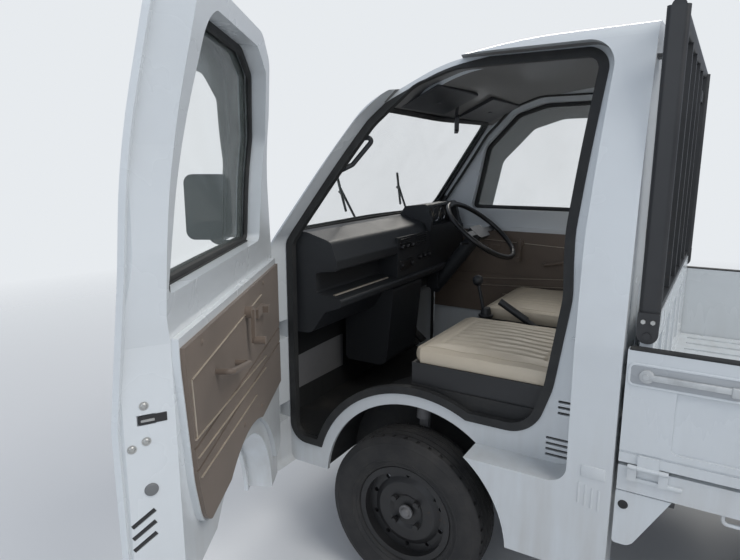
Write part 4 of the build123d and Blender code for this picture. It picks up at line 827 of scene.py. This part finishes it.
class TRUCK_OT_doors(bpy.types.Operator):
    """Window channels, belt strips, trim lines, locks, louvres and plugs of both doors"""

    bl_idname = "truck.doors"
    bl_label = "Door details"

    def execute(self, context):
        for side, sign in DOOR_SIDES:
            for build in (self.channel, self.belt, self.lines, self.lock_face):
                build(side, "door_" + side)
        return {"FINISHED"}

    def channel(self, side, body):
        """Black run channel round the window glass, on both of its faces."""
        shape = bmesh.new()
        outline = spaced(rounded(WINDOW_EDGE), 60)
        for lift in (-0.006, 0.006):
            points = []
            for spot in outline:
                inside = spot + (Vector((760, 1410)) - spot).normalized() * 5.0
                origin = at(inside.x, OUTSIDE, inside.y)
                hit = touch("door_glass_right", origin, (0, -1, 0))
                points.append(hit + Vector((0, -0.0025 + lift * 1.5, 0)))
            bead(shape, points, 0.012, 0.007, closed=True, up=(0, 1, 0))
        finished(shape, "window_channel_" + side, "rubber", body, door=side)

    def belt(self, side, body):
        """The wiping strip at the foot of the window, with its end clip."""
        glass_y, inner_y = CAB_HALF - 38, CAB_HALF - 93
        middle = at(742, (glass_y + inner_y) / 2 + 18, 1177)
        blocks("belt_strip_" + side, "rubber", body,
               ((middle, (0.7, 0.013, 0.013), 0.003),
                (at(742, glass_y - 30, 1173.5), (0.7, 0.006, 0.004), 0.001),
                (at(1088, inner_y + 6, 1171), (0.012, 0.016, 0.030), 0.003)), side)
        blocks("belt_line_" + side, "zinc", body,
               ((middle + Vector((0, -0.0085, 0.004)), (0.68, 0.004, 0.004), 0.001),), side)

    def lines(self, side, body):
        """Lines pressed into the trim board, pale as a painted highlight, and the clips that hold
        the board.
        """
        face = TRIM_Y - 0.6
        lines = bmesh.new()
        # The raised lines are real relief; their pale colour is a painted highlight.
        runs = (((1072, 1000), (455, 1024)), ((1072, 876), (420, 826)), ((1064, 834), (430, 792)),
                ((1052, 786), (560, 758)))
        for (s0, z0), (s1, z1) in runs:
            points = [at(s0 + (s1 - s0) * k / 8, face, z0 + (z1 - z0) * k / 8) for k in range(9)]
            bead(lines, points, 0.0032, 0.0014, sides=6)
        rise = [at(1075 - 4 * k, face, 1000 - 42 * k) for k in range(4)]
        bead(lines, rise, 0.0026, 0.0012, sides=6)
        finished(lines, "trim_lines_" + side, "bright line", body, door=side)
        knobs = bmesh.new()
        for s, z in ((500, 700), (700, 735), (1000, 1052), (420, 1052)):
            screw(knobs, at(s, TRIM_Y, z), (0, -1, 0), 0.006)
        finished(knobs, "trim_clips_" + side, "board", body, door=side)

    def lock_face(self, side, body):
        """The lock with its screws, louvres and a plug in the door's shut face; the louvres and
        the latch slot are black as painted shade.
        """
        out = Vector((88, -54, 0.0)).normalized()

        def spot(depth, z):
            return at(DOOR_REAR_S - 6 - 54 * (depth - 12) / 88, CAB_HALF - depth, z)

        screws = bmesh.new()
        for depth, z in ((50, 972), (50, 903), (28, 893)):
            screw(screws, spot(depth, z), out, 0.0062)
        finished(screws, "lock_screws_" + side, "zinc", body, door=side)
        turn = Matrix.Rotation(math.atan2(out.y, out.x), 3, "Z")
        # A black plate in the latch slot is painted shade for the recess, with the zinc claw on
        # it.
        blocks("lock_plate_" + side, "black metal", body,
               ((spot(62, 945), (0.003, 0.050, 0.017), 0.001),), side, turn)
        blocks("lock_claw_" + side, "zinc", body,
               ((spot(54, 944) + out * 0.0018, (0.002, 0.024, 0.005), 0.0006),), side, turn)
        # The louvre slots are black bars, painted shade for the openings.
        slots = bmesh.new()
        for z in (690, 714, 738):
            ends = (at(DOOR_REAR_S - 12, CAB_HALF - 18, z),
                    at(DOOR_REAR_S - 34, CAB_HALF - 54, z + 26))
            bead(slots, [end - out * 0.002 for end in ends], 0.0048)
        finished(slots, "door_louvres_" + side, "black metal", body, door=side)
        plug = bmesh.new()
        peg(plug, spot(52, 806), out, 0.013, 0.0035, 28, tip=0.011, soft=0.001)
        finished(plug, "door_plug_" + side, "grey plastic", body, door=side)


# Cab

DIALS = ((258, 0.031), (330, 0.034), (402, 0.031))
DIAL_Z = 1162
VENTS = ((1137, 700, 40, 3), (1122, 568, 66, 4))
VENT_PITCH = 17
PRESSINGS = ((1207, 540), (1224, 536), (1241, 532), (1258, 528))


class TRUCK_OT_cab(bpy.types.Operator):
    """Screen rubbers, instruments, pillar vents, kick panel and pedal rubbers"""

    bl_idname = "truck.cab"
    bl_label = "Cab details"

    def execute(self, context):
        sizes = context.scene.truck_sizes
        self.rubbers(sizes)
        self.instruments()
        self.pillars()
        self.panels()
        return {"FINISHED"}

    def rubbers(self, sizes):
        shape = bmesh.new()
        wide = sizes.rubber_bead
        outline = spaced(rounded(SCREEN_EDGE), 70)
        for lift, start, direction in ((-0.004, -60, (1, 0, 0)), (0.004, 900, (-1, 0, 0))):
            points = []
            for spot in outline:
                inside = spot + (Vector((0.0, 1366)) - spot).normalized() * 9.0
                hit = touch("windscreen", at(start, inside.x, inside.y), direction)
                points.append(hit + Vector((lift, 0, -lift * 0.8)))
            bead(shape, points, wide, wide * 0.6, closed=True, up=(0.8, 0, -0.6))
        finished(shape, "windscreen_rubber", "rubber", "root")
        shape = bmesh.new()
        outline = spaced(rounded(BACK_EDGE), 120)
        for s in (1266, 1277):
            points = [at(s, spot.x * 0.985, 1356 + (spot.y - 1356) * 0.97) for spot in outline]
            bead(shape, points, wide, wide * 0.6, closed=True, up=(1, 0, 0))
        finished(shape, "back_window_rubber", "rubber", "root")

    def instruments(self):
        """Dials under the hood; knobs and vents on the dashboard, and a pale strip along the
        shelf's edge as a painted highlight.
        """
        blocks("dial_face", "dial", "root",
               ((at(302.5, 330, DIAL_Z), (0.003, 0.278, 0.072), 0.001),))
        rings = bmesh.new()
        for y, radius in DIALS:
            points = [at(304.5, y, DIAL_Z) + spoke(2 * math.pi * k / 40) * radius
                      for k in range(40)]
            bead(rings, points, 0.0018, sides=6, closed=True, up=(1, 0, 0))
        finished(rings, "dial_rings", "chrome", "root")
        marks = bmesh.new()
        for y, rim in DIALS:
            radius = rim - 0.005
            for k in range(21):
                angle = math.radians(-40 + 13 * k)
                long = 0.003 if k % 4 else 0.005
                slab(marks, at(304.4, y, DIAL_Z) + spoke(angle) * radius, (0.0006, long, 0.0008),
                     Matrix.Rotation(angle, 3, "X"))
            angle = math.radians(205)
            slab(marks, at(304.8, y, DIAL_Z) + spoke(angle) * radius * 0.45,
                 (0.0008, radius * 0.9, 0.0014), Matrix.Rotation(angle, 3, "X"))
        finished(marks, "dial_marks", "bright line", "root")
        knobs = bmesh.new()
        for y, z in ((-105, 1060), (-60, 1060), (-15, 1060), (60, 1000),
                     (105, 1000), (150, 1000)):
            peg(knobs, on_dashboard(y, z), (1, 0, 0), 0.011, 0.004, 24)
            peg(knobs, on_dashboard(y, z, 0.004), (1, 0, 0), 0.0085, 0.013, 24, tip=0.0075,
                soft=0.0015)
        for y in (-70, 80):
            for row in range(5):
                slab(knobs, on_dashboard(y, 1092 - 9 * row, 0.001), (0.006, 0.09, 0.003),
                     soft=0.001)
        finished(knobs, "dash_knobs", "knob", "root")
        # A pale strip along the shelf's edge is a painted highlight.
        painted_highlight = bmesh.new()
        edge = [on_dashboard(y, 940, -0.004) + Vector((0, 0, 0.0005))
                for y in (-540, -440, -340, -240, -160)]
        bead(painted_highlight, edge, 0.006, 0.004)
        finished(painted_highlight, "shelf_lip", "bright line", "root")

    def pillars(self):
        """Vent slots, drawn as black bars of painted shade, and pressed ribs on the skin behind
        each door.
        """
        for side, sign in DOOR_SIDES:
            vents = bmesh.new()
            for s, low, wide, count in VENTS:
                for k in range(count):
                    origin = at(s, sign * OUTSIDE, low + VENT_PITCH * k + 4)
                    spot = touch("cab_side_" + side, origin, (0, -sign, 0))
                    # Each vent slot is a black bar on the skin, painted shade for the opening.
                    slab(vents, spot, ((wide - 1.5) / 1000, 0.003, 0.0068))
            finished(vents, "pillar_vents_" + side, "black metal", "root")
            ribs = bmesh.new()
            plate, *skin = [touch("cab_side_" + side, at(s, sign * OUTSIDE, z), (0, -sign, 0))
                            for s, z in ((1240, 605), *PRESSINGS)]
            slab(ribs, plate, (0.062, 0.006, 0.034), soft=0.0025)
            for spot in skin:
                rise = Vector((0.0, 0.0, 0.030))
                bead(ribs, [spot - rise, spot, spot + rise], 0.0030, 0.0022, up=(0, 1, 0))
            finished(ribs, "pillar_pressings_" + side, "white", "root")

    def panels(self):
        """The kick panel, pedal rubbers and a blank radio."""
        blocks("kick_panel", "card", "root",
               ((at(59, -290, 610), (0.004, 0.380, 0.210), 0.0015),))
        pads = bmesh.new()
        turn = Matrix.Rotation(math.radians(38), 3, "Y")
        for y in (175, 245, 315):
            slab(pads, at(238.2, y, 560.5), (0.062, 0.052, 0.005), turn, soft=0.0015)
            for k in range(-2, 3):
                lift = turn @ Vector((0.011 * k, 0, 0.0032))
                slab(pads, at(238.2, y, 560.5) + lift, (0.004, 0.046, 0.003), turn, soft=0.0008)
        finished(pads, "pedal_rubbers", "rubber", "root")
        radio = bmesh.new()
        spot = on_dashboard(-60, 985)
        slab(radio, on_dashboard(-60, 985, 0.002), (0.006, 0.105, 0.040), soft=0.002)
        for y in (-105, -15):
            peg(radio, at(0, y, 985) + Vector((spot.x + LENGTH / 2000 + 0.004, 0, 0)), (1, 0, 0),
                0.009, 0.012, 24, tip=0.008, soft=0.001)
        finished(radio, "blank_radio", "knob", "root")


# Load bed

LATCH_Z, CAP_Z = 889, 951.5
LATCH_EDGE = ((1304, 862, 12), (1564, 862, 12), (1564, 916, 12), (1304, 916, 12))
GATE_HINGES = (1393, 2296, 3125)


class TRUCK_OT_bed(bpy.types.Operator):
    """Bolts, latches, hinge blocks, plugs and edge rubbers of the load bed and the gates"""

    bl_idname = "truck.bed"
    bl_label = "Bed details"

    def execute(self, context):
        bolts, plugs = bmesh.new(), bmesh.new()
        for sign in (-1, 1):
            out = (0, sign, 0)
            for s, z in ((1322, 1018), (1344, 1018)):
                peg(bolts, at(s, sign * 662, z), out, 0.006, 0.005, 6)
            for s in (1600, 2100, 2600, 3100):
                peg(bolts, at(s, sign * 681.5, 590), out, 0.007, 0.005, 6)
            peg(plugs, at(1316, sign * 678.5, 529), out, 0.0125, 0.003, 28, tip=0.011,
                soft=0.001)
        finished(bolts, "bed_bolts", "zinc", "root")
        finished(plugs, "skirt_plugs", "rubber", "root")
        for side, sign in DOOR_SIDES:
            gate = "gate_" + side
            # The darker plate in the latch recess is painted shade.
            blocks("latch_bay_" + side, "bay", gate,
                   ((at(1434, sign * 687.6, LATCH_Z), (0.256, 0.0024, 0.050), 0.001),))
            rim = bmesh.new()
            edge = [at(p.x, sign * 688.5, p.y) for p in rounded(LATCH_EDGE)]
            bead(rim, edge, 0.0035, 0.002, closed=True, up=(0, 1, 0))
            finished(rim, "latch_rim_" + side, "white", gate)
            grips = bmesh.new()
            slab(grips, at(1440, sign * 693.5, LATCH_Z - 1), (0.200, 0.007, 0.015), soft=0.002)
            slab(grips, at(1534, sign * 694.5, LATCH_Z - 3), (0.022, 0.010, 0.024), soft=0.003)
            peg(grips, at(1344, sign * 688, LATCH_Z), (0, sign, 0), 0.017, 0.008, 28, soft=0.002)
            peg(grips, at(1344, sign * 696, LATCH_Z), (0, sign, 0), 0.008, 0.004, 6)
            finished(grips, "latch_grip_" + side, "pale steel", gate)
            blocks("hinge_blocks_" + side, "white", "root",
                   [(at(s, sign * 684, 610), (0.108, 0.008, 0.010), 0.002)
                    for s in GATE_HINGES])
            blocks("gate_cap_" + side, "rubber", gate,
                   ((at(2273.5, sign * 673.5, CAP_Z), (1.946, 0.0298, 0.005), 0.0015),))
        blocks("tailgate_cap", "rubber", "tailgate",
               ((at(3271, 0, CAP_Z), (0.0295, 1.366, 0.005), 0.0015),))
        return {"FINISHED"}


# Studio

SKY_SOFT = (0.80, 0.87, 1.0, 1.0)
SKY_PLAIN = (0.80, 0.83, 0.86, 1.0)
LAMPS = (("sky_light", (3.5, -1.5, 5.5), (0.0, 0.0, 0.8), 4.0, 260, (1.0, 0.97, 0.92)),
         ("fill_light", (-1.0, -6.0, 2.6), (-0.6, 0.0, 0.9), 4.0, 55, (0.88, 0.94, 1.0)),
         ("rear_light", (-2.5, 5.5, 4.5), (0.0, 0.0, 1.0), 3.0, 170, (1.0, 0.96, 0.88)))
CAMERA_PLACE = (-0.177, -2.214, 1.407)
CAMERA_YAW, CAMERA_PITCH = math.radians(30.96), math.radians(11.44)
CAMERA_LENS = 28.85
FADE_START, FADE_END = 3.0, 7.5


class TRUCK_OT_stage(bpy.types.Operator):
    """Floor, backdrop, soft light and the camera at the photograph's place"""

    bl_idname = "truck.stage"
    bl_label = "Stage"

    def execute(self, context):
        scene = context.scene
        self.floor(scene)
        self.lights(scene)
        self.camera(scene)
        return {"FINISHED"}

    def floor(self, scene):
        size = scene.truck_sizes.stage_size
        look = Finish("Studio floor")
        seen = look.node("LightPath", out="Is Camera Ray")
        colour = scene.truck_colours.floor
        tone = look.mix(look.noise(0.5, 3.0) * 0.15, colour, [c * 0.96 for c in colour])
        reach = look.node("VectorMath", {"operation": "LENGTH"}, {0: look.place}, "Value")
        fade = (1.0 - reach.ramp(FADE_START, FADE_END)) * seen + (1.0 - seen)
        look.shade(Base_Color=tone, Roughness=0.85, Alpha=fade.clamped())
        shape = bmesh.new()
        bmesh.ops.create_grid(shape, x_segments=2, y_segments=2, size=size)
        mesh = as_mesh(shape, "studio_floor")
        mesh.materials.append(look.material)
        floor = placed("studio_floor", mesh)

    def lights(self, scene):
        scene.world = bpy.data.worlds.new("Studio world")
        sky = Finish("Studio world", scene.world)
        seen = sky.node("LightPath", out="Is Camera Ray")
        through = sky.node("LightPath", out="Is Transmission Ray")
        soft = sky.node("Background", None, {"Color": SKY_SOFT, "Strength": 0.50})
        plain = sky.node("Background", None, {"Color": SKY_PLAIN, "Strength": 1.0})
        mask = seen.maths("MAXIMUM", seen, through)
        sky.close(sky.node("MixShader", None, {0: mask, 1: soft, 2: plain}))
        for name, place, aim, size, power, colour in LAMPS:
            lamp = bpy.data.lights.new(name, "AREA")
            lamp.shape = "SQUARE"
            lamp.size = size
            lamp.energy = power
            lamp.color = colour
            holder = placed(name, lamp)
            holder.location = place
            look_at = Vector(aim) - Vector(place)
            holder.rotation_euler = look_at.to_track_quat("-Z", "Y").to_euler()

    def camera(self, scene):
        data = bpy.data.cameras.new("photo_camera")
        data.sensor_fit = "HORIZONTAL"
        data.sensor_width = 36
        data.lens = CAMERA_LENS
        data.clip_start = 0.05
        data.clip_end = 200
        camera = placed("photo_camera", data)
        level = math.cos(CAMERA_PITCH)
        ahead = Vector((-math.sin(CAMERA_YAW) * level, math.cos(CAMERA_YAW) * level,
                        -math.sin(CAMERA_PITCH)))
        camera.location = CAMERA_PLACE
        camera.rotation_euler = ahead.to_track_quat("-Z", "Y").to_euler()
        scene.camera = camera
        scene.view_settings.view_transform = "Standard"


class TRUCK_PT_panel(bpy.types.Panel):
    """Lists the truck's operators, sizes and colours in the sidebar"""

    bl_label = "Kei truck"
    bl_idname = "TRUCK_PT_panel"
    bl_space_type = "VIEW_3D"
    bl_region_type = "UI"
    bl_category = "Truck"

    def draw(self, context):
        layout = self.layout
        for name in ORDER:
            layout.operator("truck." + name)
        for group in (context.scene.truck_sizes, context.scene.truck_colours):
            box = layout.box()
            for key in group.__annotations__:
                box.prop(group, key)


ORDER = ("finishes", "tyres", "wheel_details", "seats", "doors", "cab", "bed", "stage")
CLASSES = (TruckSizes, TruckColours, TRUCK_OT_finishes, TRUCK_OT_tyres, TRUCK_OT_wheel_details,
           TRUCK_OT_seats, TRUCK_OT_doors, TRUCK_OT_cab, TRUCK_OT_bed, TRUCK_OT_stage,
           TRUCK_PT_panel)


def register():
    for kind in CLASSES:
        bpy.utils.register_class(kind)
    bpy.types.Scene.truck_sizes = bpy.props.PointerProperty(type=TruckSizes)
    bpy.types.Scene.truck_colours = bpy.props.PointerProperty(type=TruckColours)


def unregister():
    del bpy.types.Scene.truck_colours
    del bpy.types.Scene.truck_sizes
    for kind in reversed(CLASSES):
        bpy.utils.unregister_class(kind)


def main():
    register()
    for name in ORDER:
        getattr(bpy.ops.truck, name)()


if __name__ == "__main__":
    main()
